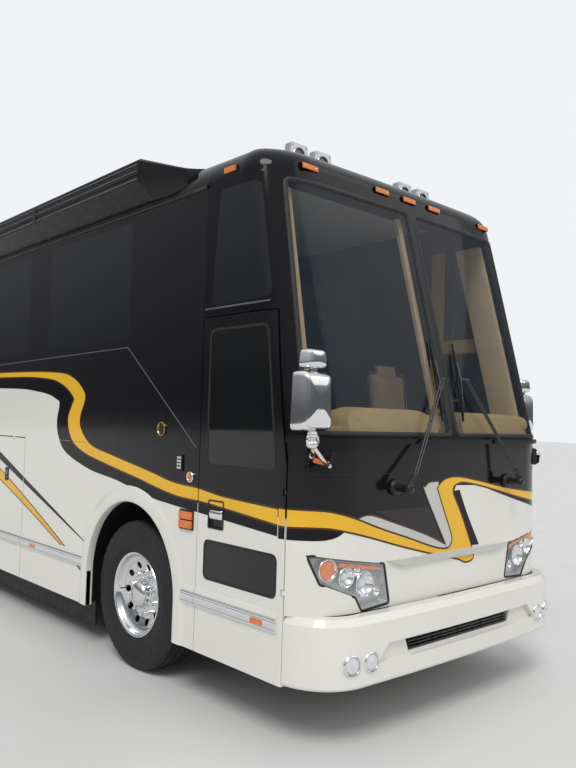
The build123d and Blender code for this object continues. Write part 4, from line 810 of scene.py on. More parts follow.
LIMB_SHADE = (
    [(0.300, 1.020), (0.150, 1.243), (0.060, 1.400)], [(0.205, 1.020), (0.081, 1.243), (-0.013, 1.393)]
)
# The shade under the band on the driver's side of the front
DRIVER_SHADE = ([(0.4, 1.400), (0.9, 1.302), (1.42, 1.224)], [(0.4, 1.392), (0.9, 1.270), (1.42, 1.160)])
# How far each layer stands off the skin, and how wide its edge lines are
UNDER, OVER, RAY, BAND = 0.0010, 0.0011, 0.0012, 0.0013
SIDE_EDGE, RAY_EDGE, NOSE_EDGE = (0.012, 0.0016), (0.010, 0.0015), (0.011, 0.0016)


def paint_lines():
    """All bands, lines and facets of the paint."""
    for side, word in HANDS:

        def on_side(points):
            return [(side * along(d), z) for d, z in points]

        top, foot, shade = map(on_side, (BAND_TOP, BAND_FOOT, SHADE_FOOT))
        ray = [on_side(edge) for edge in DIAGONAL_GOLD]
        decal(f"shade_{word}", ribbon(foot, shade), paint_black, UNDER)
        decal(f"band_{word}", ribbon(top, foot), paint_gold, BAND)
        edging(f"edge_{word}", (top, foot), *SIDE_EDGE)
        decal(f"streak_{word}", ribbon(*map(on_side, DIAGONAL_BLACK)), paint_black, UNDER)
        decal(f"ray_{word}", ribbon(*ray), paint_gold, RAY)
        edging(f"ray_edge_{word}", ray, *RAY_EDGE)
    decal("nose_facet", FACET, paint_smoke, UNDER)
    decal("nose_shade", ribbon(NOSE_FOOT[:4], NOSE_SHADE), paint_black, UNDER)
    decal("nose_swirl", ribbon(*SWIRL), paint_silver, OVER)
    decal("nose_strip", ribbon(*STRIP), paint_silver, OVER)
    decal("nose_limb_shade", ribbon(*LIMB_SHADE), paint_black, OVER)
    decal("nose_band", ribbon(NOSE_TOP, NOSE_FOOT), paint_gold, BAND)
    edging("nose_edge", (NOSE_TOP, NOSE_FOOT, SWIRL[0], STRIP[0]), *NOSE_EDGE)
    decal("nose_right_shade", ribbon(*DRIVER_SHADE), paint_black, UNDER)


# Wheels

TYRE_HALF = [
    # across from the middle, radius, bead first
    (0.1180, 0.288), (0.1260, 0.300), (0.1310, 0.318), (0.1345, 0.322), (0.1350, 0.328), (0.1385, 0.333),
    (0.1375, 0.337), (0.1430, 0.346), (0.1475, 0.372), (0.1495, 0.400), (0.1490, 0.424), (0.1460, 0.430),
    (0.1485, 0.435), (0.1475, 0.452), (0.1435, 0.457), (0.1440, 0.463), (0.1395, 0.484), (0.1370, 0.487),
    (0.1350, 0.500), (0.1310, 0.509), (0.1270, 0.516), (0.1190, 0.524), (0.1080, 0.528), (0.0945, 0.5295),
    (0.0935, 0.5185), (0.0865, 0.5185), (0.0855, 0.5302), (0.0600, 0.5312), (0.0345, 0.5318),
    (0.0335, 0.5200), (0.0265, 0.5200), (0.0255, 0.5319), (0.0, 0.5320),
]
# Points of the profile where the shoulder's blocks and the grooves start, and those of the cut rib
TREAD_FROM, GROOVES_FROM = 18, 24
RIB = (27, 28)
LIP = [
    (-0.130, 0.272), (-0.132, 0.300), (-0.126, 0.302), (-0.121, 0.289), (0.112, 0.289), (0.117, 0.300),
    (0.126, 0.303), (0.1315, 0.300), (0.1318, 0.294), (0.127, 0.286), (0.116, 0.281),
]
STUD_CIRCLE = 0.150
STEER_DISC = [
    (0.116, 0.281), (0.096, 0.2745), (0.0855, 0.266), (0.080, 0.255), (0.076, 0.246), (0.0745, 0.238),
]
STEER_FACE = [(0.238, 0.0745), (0.205, 0.0635), (0.185, 0.0555), (0.172, 0.0525)]
STEER_HUB = [
    (0.0525, 0.172), (0.0515, 0.165), (0.0515, 0.112), (0.0560, 0.106), (0.0640, 0.104), (0.0680, 0.096),
    (0.0950, 0.0905), (0.1080, 0.0860), (0.1180, 0.0740), (0.1250, 0.0560), (0.1300, 0.0300),
    (0.1315, 0.0100), (0.1318, 0.0),
]
TWIN_DISC = [
    (0.116, 0.281), (0.060, 0.272), (-0.040, 0.268), (-0.080, 0.262), (-0.096, 0.250), (-0.102, 0.238),
]
TWIN_FACE = [(0.238, -0.102), (0.205, -0.128), (0.185, -0.146), (0.172, -0.1545)]
TWIN_HUB = [
    (-0.1545, 0.172), (-0.1560, 0.165), (-0.1560, 0.116), (-0.1500, 0.1085), (-0.0450, 0.1065),
    (-0.0300, 0.1000), (-0.0200, 0.0840), (-0.0150, 0.0500), (-0.0130, 0.0),
]
STUD = [
    (0.0, 0.0200), (0.0040, 0.0200), (0.0055, 0.0170), (0.0300, 0.0160), (0.0360, 0.0130), (0.0385, 0.0070),
    (0.0390, 0.0),
]
VALVE = ((0.070, 0.225, 0.0), (0.092, 0.236, 0.0), (0.112, 0.246, 0.0))
HOLES = 10
HOLE_AT, HOLE_R = 0.205, 0.0255


def blocks(index, step):
    """How deep the tread's cross cuts are."""
    near = min(index, 2 * (len(TYRE_HALF) - 1) - index)
    if TREAD_FROM <= near < GROOVES_FROM and step % 4 == 0:
        return 0.006
    if near in RIB and step % 4 == 2:
        return 0.003
    return 0.0


def spun(profile, steps, notch=None):
    """A profile turned round the wheel's axis at the origin, its outer side towards +X."""
    return Form().turned(profile, Vector(), ACROSS, steps, notch)


def holed_face(form, face, per_side=6):
    """The wheel's disc between two radii, with its hand holes."""
    outer, inner = face[0][0], face[-1][0]

    def depth(radius):
        for (r1, a1), (r2, a2) in zip(face, face[1:]):
            if r2 <= radius <= r1:
                return a2 + (a1 - a2) * (radius - r2) / (r1 - r2)
        return face[0][1] if radius > outer else face[-1][1]

    half = math.pi / HOLES
    border = []
    corners = [(-half, inner), (half, inner), (half, outer), (-half, outer)]
    for (t1, r1), (t2, r2) in zip(corners, corners[1:] + corners[:1]):
        border += [(t1 + (t2 - t1) * n / per_side, r1 + (r2 - r1) * n / per_side) for n in range(per_side)]
    for hole in range(HOLES):
        middle = 2 * half * hole
        rows = []
        for share in (0.0, 0.35, 0.7, 1.0):
            row = []
            for turn, radius in border:
                way = math.atan2(radius - HOLE_AT, turn * HOLE_AT)
                near = (math.cos(way) * HOLE_R / HOLE_AT, HOLE_AT + math.sin(way) * HOLE_R)
                t, r = near[0] * (1 - share) + turn * share, near[1] * (1 - share) + radius * share
                row.append(Vector((depth(r), r * math.cos(middle + t), r * math.sin(middle + t))))
            rows.append(row)
        sides = [[p - ACROSS * back for p in rows[0]] for back in (0.014, 0.0015)]
        form.grid(sides + rows, ring=True)


def rim(disc, face, hub):
    """A bright rim, its disc with hand holes and its hub."""
    form = spun(LIP + disc[1:], 120)
    holed_face(form, face)
    return form.turned(hub, Vector(), ACROSS, 60)


def stud_covers(base):
    """Ten bright covers over the wheel studs."""
    form = Form()
    for n in range(10):
        turn = math.radians(36 * n + 18)
        centre = Vector((base, STUD_CIRCLE * math.cos(turn), STUD_CIRCLE * math.sin(turn)))
        form.turned(STUD, centre, ACROSS, 16)
    return form


def standing(form, side, x, distance):
    """A copy of a wheel form at its place, its outer side outwards."""
    copy = Form()
    centre = at(side * x, distance, AXLE_Z)
    copy.verts = [centre + Vector((side * v.x, v.y, v.z)) for v in form.verts]
    copy.faces = list(form.faces)
    return copy


def make_wheels():
    """All eight tyres with their rims."""
    tyre = spun(TYRE_HALF + [(-a, r) for a, r in reversed(TYRE_HALF[:-1])], 160, blocks)
    steer, steer_studs = rim(STEER_DISC, STEER_FACE, STEER_HUB), stud_covers(0.0510)
    twin, twin_studs = rim(TWIN_DISC, TWIN_FACE, TWIN_HUB), stud_covers(-0.1562)
    inner = spun(LIP[:5] + [(0.132, 0.300), (0.130, 0.272)], 80)
    inner.turned([(0.10, 0.27), (0.150, 0.20), (0.150, 0.06)], Vector(), ACROSS, 60)
    valve = Form().tube([Vector(p) for p in VALVE], 0.0045, 8)
    for side, word in SIDES:
        for tag, distance in ((f"front_{word}", 0.0), (f"tag_{word}", TAG)):
            body, place = f"wheel_{tag}", (side, WHEEL_X, distance)
            standing(tyre, *place).made(f"tyre_road_{tag}", rubber, body, replaces=[f"tyre_{tag}"], sharp=28)
            standing(steer, *place).made(f"rim_bright_{tag}", polished, body, replaces=[f"rim_{tag}"])
            standing(steer_studs, *place).made(f"studs_{tag}", chrome, body, "rim")
            standing(valve, *place).made(f"valve_{tag}", black_rubber, body, "tyre")
        tag, body = f"drive_{word}", f"wheel_drive_{word}"
        outer_place, inner_place = (side, WHEEL_X, DRIVE), (side, WHEEL_X - TWIN, DRIVE)
        tyres, second = standing(tyre, *outer_place), standing(tyre, *inner_place)
        base = len(tyres.verts)
        tyres.verts += second.verts
        tyres.faces += [tuple(base + i for i in f) for f in second.faces]
        tyres.made(f"tyres_road_{tag}", rubber, body, replaces=[f"tyres_{tag}"], sharp=28)
        standing(twin, *outer_place).made(f"rim_bright_{tag}", polished, body, replaces=[f"rims_{tag}"])
        standing(inner, *inner_place).made(f"rim_inner_{tag}", dull_steel, body, "rim")
        standing(twin_studs, *outer_place).made(f"studs_{tag}", chrome, body, "rim")


# Front lamps

HEADLAMP = [(1.217, 1.078), (0.686, 0.995), (0.634, 0.757), (0.872, 0.742), (0.926, 0.826), (1.150, 0.914)]
# across, height, radius and depth of the turn lamp, the main lamp and the dipped lamp
BOWLS = ((1.104, 0.988, 0.058, 0.030), (0.985, 0.942, 0.054, 0.040), (0.838, 0.890, 0.070, 0.045))
SMALL_BOWLS = ((0.735, 0.835), (0.900, 0.965))
AMBER_BAR = ((1.03, 1.026), (0.712, 0.974), (0.708, 0.956), (1.04, 1.006))
FOG_X, FOG_Z = (0.905, 1.047), 0.492
FOG_RING = [
    (-0.03, 0.0590), (0.001, 0.0590), (0.006, 0.0570), (0.009, 0.0530), (0.008, 0.0490), (0.003, 0.0465),
    (-0.002, 0.0455),
]


def front_skin(x, z, proud=0.0):
    """A point on the front's skin below the windscreen, by its place in the front view."""
    reach = abs(x)
    if reach <= CORNER_X:
        u = FLAT[1] * math.asin(reach / FLAT[1])
    elif reach <= CORNER_X + CORNER[1] * math.sin(CORNER[0]):
        u = FLAT[0] + CORNER[1] * math.asin((reach - CORNER_X) / CORNER[1])
    else:
        u = CORNER_END + CREASE_R * (math.asin(min(1.0, (reach - CREASE_X) / CREASE_R)) - CORNER[0])
    return skin(math.copysign(u, x), z, proud)


def on_front(points, proud=0.0, side=1):
    """Points of (across, height) on the front's skin."""
    return [front_skin(side * x, z, proud) for x, z in points]


def front_out(x):
    """The skin's outward direction at a place across the front."""
    return (front_skin(x, 1.0, 1.0) - front_skin(x, 1.0)).normalized()


def filled_outline(form, outline, lift):
    """A sheet inside an outline of (x, z) on the front's skin, in strips so that it follows the curve."""
    bm = flat_mesh(outline)
    for n in range(-44, 45):
        cut(bm, 0, n * 0.03)
    bm.verts.index_update()
    base = len(form.verts)
    form.verts += [front_skin(v.co.x, v.co.y, lift) for v in bm.verts]
    form.faces += [tuple(base + v.index for v in f.verts) for f in bm.faces]
    bm.free()


def dish(form, centre, out, radius, depth, lip=0.006):
    """A reflector bowl facing outwards from its rim's centre."""
    profile = [(lip * 0.5, radius + lip), (lip, radius + lip * 0.6), (lip, radius), (0.0, radius * 0.97)]
    profile += [(-depth * (1 - (k / 6) ** 2), radius * 0.95 * k / 6) for k in (5, 4, 3, 2, 1)]
    form.turned(profile + [(-depth, 0.0)], centre, out, 36)


def dome(form, centre, out, radius, height, rings=5):
    """A domed lens with a short skirt."""
    profile = [(-0.004, radius), (0.0, radius)]
    for k in range(1, rings):
        turn = math.pi / 2 * k / rings
        profile.append((height * math.sin(turn), radius * math.cos(turn)))
    form.turned(profile + [(height, 0.0)], centre, out, 32)


def make_front_lamps():
    """Headlamps behind clear covers, and the fog lamps in the bumper."""
    for side, word in SIDES:
        back, bowls, bezel, cover, tinted, bulbs, rings, lenses = forms(8)
        soft = pairs(rounded([(side * x, z) for x, z in HEADLAMP], 0.022))
        mid_x = sum(x for x, _ in soft) / len(soft)
        mid_z = sum(z for _, z in soft) / len(soft)
        deep = [(mid_x + (x - mid_x) * 0.93, mid_z + (z - mid_z) * 0.90) for x, z in soft]
        back.grid([on_front(soft, -0.004), on_front(deep, -0.060)], ring=True)
        filled_outline(back, deep, -0.060)
        section = [(-0.007, -0.004), (-0.006, 0.003), (0.0, 0.0045), (0.006, 0.003), (0.007, -0.004)]
        bezel.sweep(on_front(soft), [front_out(x) for x, _ in soft], section, closed=True)
        for number, (x, z, radius, depth) in enumerate(BOWLS):
            out = (front_out(side * x) + FRONTWARD).normalized()
            centre = front_skin(side * x, z, -0.014)
            dish(bowls, centre, out, radius, depth)
            if number == 0:
                dome(tinted, centre - out * 0.012, out, radius * 0.94, 0.018)
            else:
                dome(bulbs, centre - out * (depth * 0.7), out, radius * 0.52, 0.024)
        for x, z in SMALL_BOWLS:
            dish(bowls, front_skin(side * x, z, -0.016), front_out(side * x), 0.024, 0.016, 0.003)
        tinted.slab(on_front(AMBER_BAR, -0.022, side), on_front(AMBER_BAR, -0.010, side))
        filled_outline(cover, soft, -0.0005)
        back.made(f"headlamp_back_{word}", headlamp_inside, sharp=60)
        bowls.made(f"headlamp_bowls_{word}", chrome, sharp=50)
        bezel.made(f"headlamp_bezel_{word}", satin_black)
        tinted.made(f"headlamp_amber_{word}", amber, sharp=50)
        bulbs.made(f"headlamp_lenses_{word}", clear_lens, sharp=60)
        cover.made(f"headlamp_cover_{word}", clear_cover, replaces=["front_lamps"] if side > 0 else ())
        for x in FOG_X:
            face, out = front_hit(side * x, 0.600, "bumper_front")
            centre = Vector((face.x, face.y, FOG_Z)) + out * 0.003
            rings.turned(FOG_RING, centre, out, 36)
            profile = [(-0.002, 0.0460), (0.001, 0.0450)]
            for k in range(1, 11):
                profile.append((0.0012 * (k % 2) + 0.002 + 0.006 * (k / 11) ** 0.5, 0.044 * (1 - k / 11)))
            lenses.turned(profile + [(0.009, 0.0)], centre, out, 32)
        rings.made(f"fog_rings_{word}", chrome)
        lenses.made(f"fog_lenses_{word}", clear_lens)


# Trim on the sides

TRIM_SECTION = [
    # outward, height
    (-0.004, 0.6255), (0.0108, 0.6300), (0.0122, 0.6360), (0.0122, 0.6420), (0.0112, 0.6450),
    (0.0122, 0.6480), (0.0122, 0.6850), (0.0112, 0.6880), (0.0122, 0.6910), (0.0122, 0.6980),
    (0.0108, 0.7030), (0.0060, 0.7085), (-0.004, 0.7100),
]
LEDGE_SECTION = [
    (-0.004, 0.7090), (0.0066, 0.7084), (0.0105, 0.7120), (0.0095, 0.7200), (0.0035, 0.7420),
    (-0.002, 0.7450),
]
PANEL_GAP = 0.0045


def runner(form, side, front, rear, section):
    """A section of (outward, height) run along one side."""
    rows = [[wall(side, d, z, out) for out, z in section] for d in (front, rear)]
    form.grid(rows).ends(rows)


def make_side_trim():
    """Bright strips with the white ledge above them, on each panel they cross."""
    for side, word in SIDES:
        corner = -0.826 if side < 0 else -1.60
        spans = {"coach": [(0.683, 1.861), (7.218, 7.388), (10.013, 11.149), (corner, -0.683)]}
        if side < 0:
            spans["entry_door"] = [(-1.616, -0.836)]
        for body, front, rear in bays(word):
            spans[body] = [(front + PANEL_GAP, rear - PANEL_GAP)]
        for body, lengths in spans.items():
            strip, ledge = forms(2)
            for front, rear in lengths:
                runner(strip, side, front, rear, TRIM_SECTION)
                runner(ledge, side, front, rear, LEDGE_SECTION)
            strip.made(f"strip_{body}_{word}", chrome, body, sharp=30)
            ledge.made(f"ledge_{body}_{word}", paint_white, body, sharp=30)


def arch_path(front, rear, radius, top, foot, reach, steps=14):
    """Points of (behind the axle, height) round an arch, moved outwards from its opening."""
    points = [(front - reach, foot)]
    for centre, start in ((front + radius, math.pi), (rear - radius, math.pi / 2)):
        for step in range(steps + 1):
            turn = start - math.pi / 2 * step / steps
            points.append(
                (centre + (radius + reach) * math.cos(turn), top - radius + (radius + reach) * math.sin(turn))
            )
    points.append((rear + reach, foot))
    return points


# across from the opening's edge, outward from the panel
LIP_SECTION = [
    (0.000, -0.030), (0.000, 0.004), (0.004, 0.0095), (0.012, 0.0118), (0.030, 0.0122), (0.060, 0.0118),
    (0.078, 0.0108), (0.092, 0.0070), (0.110, 0.0020), (0.122, -0.001),
]
ARCHES = (("front", -0.60, 0.60, 0.599), ("rear", DRIVE - 0.58, TAG + 0.58, 0.579))
ARCH_TOP = 1.207
WELL_X, WELL_FOOT = 0.60, 0.36


def make_arches():
    """The flared lips round the wheel arches, and the dark wells behind them."""
    for side, word in SIDES:
        for name, front, rear, radius in ARCHES:
            lip, well = forms(2)
            arch = (front, rear, radius, ARCH_TOP)
            lip.grid([on_wall(side, arch_path(*arch, 0.3455, reach), out) for reach, out in LIP_SECTION])
            # the front wells widen inwards to clear the steered wheels
            flare = 0.085 if name == "front" else 0.0
            inboard = arch_path(front - flare, rear + flare, radius + flare, 1.215, WELL_FOOT, -0.001)
            rings = [on_wall(side, arch_path(*arch, WELL_FOOT, -0.001), -0.046)]
            well.grid(rings + [[at(side * x, d, z) for d, z in inboard] for x in (1.10, WELL_X)])
            # the liner's inner wall, down to the axles
            ends = (front - flare + 0.10, rear + flare - 0.10)
            well.grid([[at(side * WELL_X, d, z) for d in ends] for z in (0.86, 1.206)])
            lip.made(f"arch_lip_{name}_{word}", paint_white, sharp=50)
            well.made(f"wheel_well_{name}_{word}", black_rubber)


def plate(form, side, outline, low, high):
    """A small plate on one flat side, from an outline of (behind the axle, height)."""
    form.slab(on_wall(side, outline, low), on_wall(side, outline, high))


def box_outline(d, z, length, height, radius=0.006):
    """A rounded rectangle round a place."""
    return pairs(rounded(rect(d, z, length / 2, height / 2), radius, 4))


MARKER_D, MARKER_Z = -0.715, 1.160
KEYPAD_D, KEYPAD_Z = -0.620, 1.525
STRIP_MARKERS = (1.60, 7.30, 10.5)
GLASS_JOINT = [(2.54, 2.292), (0.117, 2.333), (-0.790, 1.632)]
GLASS_JOINT_REAR = (11.14, 2.292)


def make_side_details():
    """Lamps, filler, keypad, latches and lines on the sides."""
    for side, word in SIDES:
        markers, bases, bright, dark, lines, brassy = forms(6)
        out = ACROSS * side
        # double side marker in front of the wheel
        plate(bases, side, box_outline(MARKER_D, MARKER_Z, 0.155, 0.130), 0.0, 0.008)
        for z in (1.131, 1.189):
            plate(markers, side, box_outline(MARKER_D, z, 0.140, 0.050), 0.006, 0.022)
            for d in (-0.755, -0.675):
                dome(markers, wall(side, d, z, 0.021), out, 0.017, 0.006)
        # round filler cap and round lamp, each with a ring
        for d, z, radius, rings, lens in (
            (-0.382, 1.742, 0.050, brassy, dark),
            (-0.744, 1.438, 0.036, bright, markers),
        ):
            centre = wall(side, d, z)
            ring = [(-0.002, 1.0), (0.010, 1.0), (0.013, 0.94), (0.013, 0.84), (0.006, 0.76)]
            rings.turned([(height, radius * share) for height, share in ring], centre, out, 36)
            dome(lens, centre + out * 0.004, out, radius * 0.80, 0.007)
        plate(dark, side, box_outline(KEYPAD_D, KEYPAD_Z, 0.060, 0.105), 0.0, 0.012)
        for row in range(4):
            for column in (-1, 1):
                key = box_outline(
                    KEYPAD_D + column * 0.013, KEYPAD_Z + 0.033 - row * 0.022, 0.018, 0.014, 0.003
                )
                plate(bright, side, key, 0.010, 0.0145)
        for d in STRIP_MARKERS:
            plate(markers, side, box_outline(d, STRIP_Z, 0.10, 0.030), 0.010, 0.0165)
        bases.made(f"marker_bases_{word}", black_plastic, bevel=0.002)
        markers.made(f"side_markers_{word}", amber, bevel=0.002)
        bright.made(f"side_rings_{word}", chrome)
        brassy.made(f"filler_ring_{word}", brass)
        dark.made(f"side_dark_{word}", black_plastic, bevel=0.0015)
        # thin line where the upper glass panels join
        for ends in (*zip(GLASS_JOINT, GLASS_JOINT[1:]), (GLASS_JOINT[0], GLASS_JOINT_REAR)):
            lines.tube(on_wall(side, ends, -0.0004), 0.0028, 6)
        lines.made(f"glass_joint_{word}", joint_line)
        for body, front, _ in bays(word):
            latch, grip = forms(2)
            d = max(front, 1.90) + 0.35
            plate(latch, side, box_outline(d, 1.248, 0.085, 0.120, 0.010), 0.0, 0.004)
            plate(grip, side, box_outline(d, 1.264, 0.060, 0.050), 0.003, 0.010)
            plate(grip, side, box_outline(d, 1.215, 0.050, 0.012, 0.004), 0.003, 0.008)
            latch.made(f"latch_{body}", black_plastic, body, bevel=0.0015)
            grip.made(f"latch_grip_{body}", dull_steel, body, bevel=0.002)


HANDLE_D, HANDLE_Z = -1.025, 1.225
GRIP = ((-1.090, -0.006), (-1.078, 0.008), (HANDLE_D, 0.012), (-0.972, 0.008), (-0.960, -0.006))
# outline and corner radius
DOOR_WINDOWS = (
    ([(-0.915, 1.530), (-0.915, 2.390), (-1.470, 2.390), (-1.575, 1.530)], 0.060),
    ([(-0.915, 0.820), (-0.915, 1.055), (-1.595, 1.055), (-1.595, 0.820)], 0.040),
)


def make_entry_door():
    """Handle, window frames and marker of the entry door."""
    side, body = -1, "entry_door"
    pull, bezel, lock, frames, marker = forms(5)
    outer = box_outline(HANDLE_D, HANDLE_Z, 0.158, 0.178, 0.012)
    inner = box_outline(HANDLE_D, HANDLE_Z, 0.138, 0.158, 0.008)
    steps = ((inner, -0.012), (inner, 0.003), (outer, 0.005), (outer, -0.001))
    bezel.grid([on_wall(side, outline, proud) for outline, proud in steps], ring=True)
    bezel.face(on_wall(side, inner, -0.0135))
    rows = []
    for point in curved([wall(side, d, HANDLE_Z, out) for d, out in GRIP], 5):
        rows.append([point + Vector((-0.006 * math.sin(t), 0, 0.026 * math.cos(t))) for t in turns(12)])
    pull.grid(rows, ring=True)
    dome(lock, wall(side, HANDLE_D, 1.283, -0.004), -ACROSS, 0.011, 0.004)
    section = [(-0.009, -0.002), (-0.008, 0.0015), (0.0, 0.0025), (0.008, 0.0015), (0.009, -0.002)]
    for outline, radius in DOOR_WINDOWS:
        path = on_wall(side, pairs(rounded(outline, radius, 8)))
        frames.sweep(path, [-ACROSS] * len(path), section, closed=True)
    plate(marker, side, box_outline(-1.45, STRIP_Z, 0.105, 0.034), 0.011, 0.0165)
    bezel.made("door_bezel", satin_black, body, sharp=40)
    pull.made("door_pull", chrome, body, sharp=60)
    lock.made("door_lock", dull_steel, body)
    frames.made("door_window_frames", black_rubber, body)
    marker.made("door_marker", amber, body, bevel=0.002)


# Front and roof details

SCREEN_EDGE = ((0.032, 1.757), (1.226, 1.757), (1.140, 3.310), (0.032, 3.310))
SEAM_Z = 1.524
LEDGE = [(-0.665, 1.010), (0.665, 1.010), (0.530, 0.965), (-0.530, 0.965)]


def screen_d(z):
    """Where the middle of the windscreen lies along the coach, at a height."""
    return BODY_FRONT + max(0.0, z - SCREEN_FOOT) * RAKE


def screen_skin(x, z):
    """A point on the leaning front above the sill, and its outward direction."""
    flat = front_out(x)
    point = front_skin(x, z)
    point.y += max(0.0, z - SCREEN_FOOT) * RAKE
    return point, Vector((flat.x, flat.y, -RAKE * flat.y)).normalized()


def ball(form, centre, size, steps=14):
    """A rounded lump with three half sizes."""
    rows = []
    for ring in range(steps // 2 + 1):
        tilt = math.pi * ring / (steps // 2)
        wide, deep, high = size[0] * math.sin(tilt), size[1] * math.sin(tilt), size[2] * math.cos(tilt)
        rows.append([centre + Vector((wide * math.cos(t), deep * math.sin(t), high)) for t in turns(steps)])
    form.grid(rows, ring=True)


def make_screen_trim():
    """Rubber seals round the windscreen, the seam across the front and the grey ledge of the nose."""
    seal, seam, ledge = forms(3)
    section = [
        (-0.017, -0.003), (-0.015, 0.003), (-0.006, 0.0060), (0.006, 0.0060), (0.015, 0.003),
        (0.017, -0.003),
    ]
    for side, _ in SIDES:
        soft = rounded([(side * x, z) for x, z in SCREEN_EDGE], 0.045)
        fine = []
        for index, point in enumerate(soft):
            following = soft[(index + 1) % len(soft)]
            cuts = max(1, int((following - point).length / 0.06))
            fine += [point.lerp(following, n / cuts) for n in range(cuts)]
        path, outs = zip(*(screen_skin(p.x, p.y) for p in fine))
        seal.sweep(path, outs, section, closed=True)
    lengths = [-1.352 + 2.704 * n / 120 for n in range(121)]
    section = [(-0.0025, -0.001), (-0.0022, 0.0006), (0.0022, 0.0006), (0.0025, -0.001)]
    seam.sweep([skin(u, SEAM_Z) for u in lengths], [plan(u)[2] for u in lengths], section)
    ledge.slab(*([at(x, BODY_FRONT - out, z) for x, z in LEDGE] for out in (0.0115, 0.0145)))
    seal.made("screen_seals", black_rubber, sharp=60)
    seam.made("front_seam", satin_black, slot="gloss_black")
    ledge.made("nose_ledge", paint_silver, bevel=0.001)


BROW = (-0.966, -0.294, 0.0, 0.294, 0.966)
BROW_LOW, BROW_MIDDLE, BROW_HIGH = 3.393, 3.4105, 3.428
EDGE_MARKER = (-1.063, 3.402)


def make_brow():
    """Amber lamps on the brow and at the roof's edge."""
    lenses, screws, bases = forms(3)
    for x in BROW:
        corners = [(-0.066, BROW_LOW), (0.074, BROW_LOW), (0.066, BROW_HIGH), (-0.074, BROW_HIGH)]
        front = front_hit(x, 3.41, "front_frame")[0].y - 0.001
        face = [(x + dx * 0.94, front - 0.006, z + (BROW_MIDDLE - z) * 0.15) for dx, z in corners]
        lenses.slab([Vector((x + dx, front + 0.004, z)) for dx, z in corners], [Vector(p) for p in face])
        for offset in (-0.050, 0.050):
            ball(screws, Vector((x + offset, front - 0.007, BROW_MIDDLE)), (0.005, 0.003, 0.005), 10)
    for side, _ in SIDES:
        plate(bases, side, box_outline(*EDGE_MARKER, 0.125, 0.045), -0.012, 0.004)
        plate(lenses, side, box_outline(*EDGE_MARKER, 0.112, 0.034), 0.0, 0.014)
    lenses.made("brow_lenses", amber, bevel=0.003)
    screws.made("brow_screws", chrome, sharp=60)
    bases.made("roof_marker_bases", black_plastic, bevel=0.003)


ROOF_LAMPS = (-0.695, -0.462, 0.462, 0.695)


def make_roof_lamps():
    """Rims, lenses and bolts of the lamps on the roof's front edge."""
    lenses, rims, bolts = forms(3)
    low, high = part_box("roof_lamps")
    rim_profile = [(-0.012, 0.055), (0.003, 0.057), (0.006, 0.0545), (0.005, 0.048), (-0.004, 0.044)]
    lens_profile = [(-0.006, 0.045), (-0.001, 0.040), (0.003, 0.026), (0.0045, 0.010), (0.005, 0.0)]
    for x in ROOF_LAMPS:
        centre = Vector((x, low.y, (high.z + 3.575) / 2))
        rims.turned(rim_profile, centre, FRONTWARD, 36)
        lenses.turned(lens_profile, centre, FRONTWARD, 32)
        for dx in (-0.070, 0.070):
            for dz, narrower in ((-0.062, 1), (0.062, 0.9)):
                ball(bolts, centre + Vector((dx * narrower, -0.001, dz)), (0.005, 0.003, 0.005), 10)
    rims.made("roof_lamp_rims", lamp_metal)
    lenses.made("roof_lamp_lenses", smoked_lens, sharp=60)
    bolts.made("roof_lamp_bolts", dull_steel, sharp=60)


# Mirrors

# side, behind the axle, and across the skin where the bracket stands
MIRRORS = ((-1, "right", -1.920, 1.165), (1, "left", -1.590, 1.190))
HEAD_X = 1.3525
KNUCKLE_Z = 1.700
BRACKET_Z = 1.6
BRACKET = [(-0.085, 1.540), (0.072, 1.540), (0.085, 1.662), (-0.062, 1.662)]
BRACKET_LAMP = [(-0.050, -0.006), (0.044, -0.026), (0.048, 0.002), (-0.046, 0.024)]
SHELL = (
    # share of the depth from the back, share of the outline
    (0.00, 0.97), (0.03, 1.0), (0.45, 1.0), (0.66, 0.965), (0.80, 0.90), (0.86, 0.86), (0.84, 0.84),
    (0.90, 0.82), (0.97, 0.70), (1.00, 0.50), (1.01, 0.25), (1.012, 0.04),
)


def shell_head(form, glass, head_x, head_d, half_low, half_high, low, high, depth):
    """A mirror head: a rounded bright shell with its glass at the back."""
    outline = rounded([(-half_low, low), (half_low, low), (half_high, high), (-half_high, high)], 0.032)
    middle, back = (low + high) / 2, head_d + depth / 2
    rows = []
    for share, size in SHELL:
        rows.append(
            [at(head_x + p.x * size, back - depth * share, middle + (p.y - middle) * size) for p in outline]
        )
    form.grid(rows, ring=True).face(rows[-1]).face(rows[0][::-1])
    inset = [(p.x * 0.90, middle + (p.y - middle) * 0.93) for p in outline]
    glass.slab(*([at(head_x + x, back + out, z) for x, z in inset] for out in (-0.002, 0.003)))


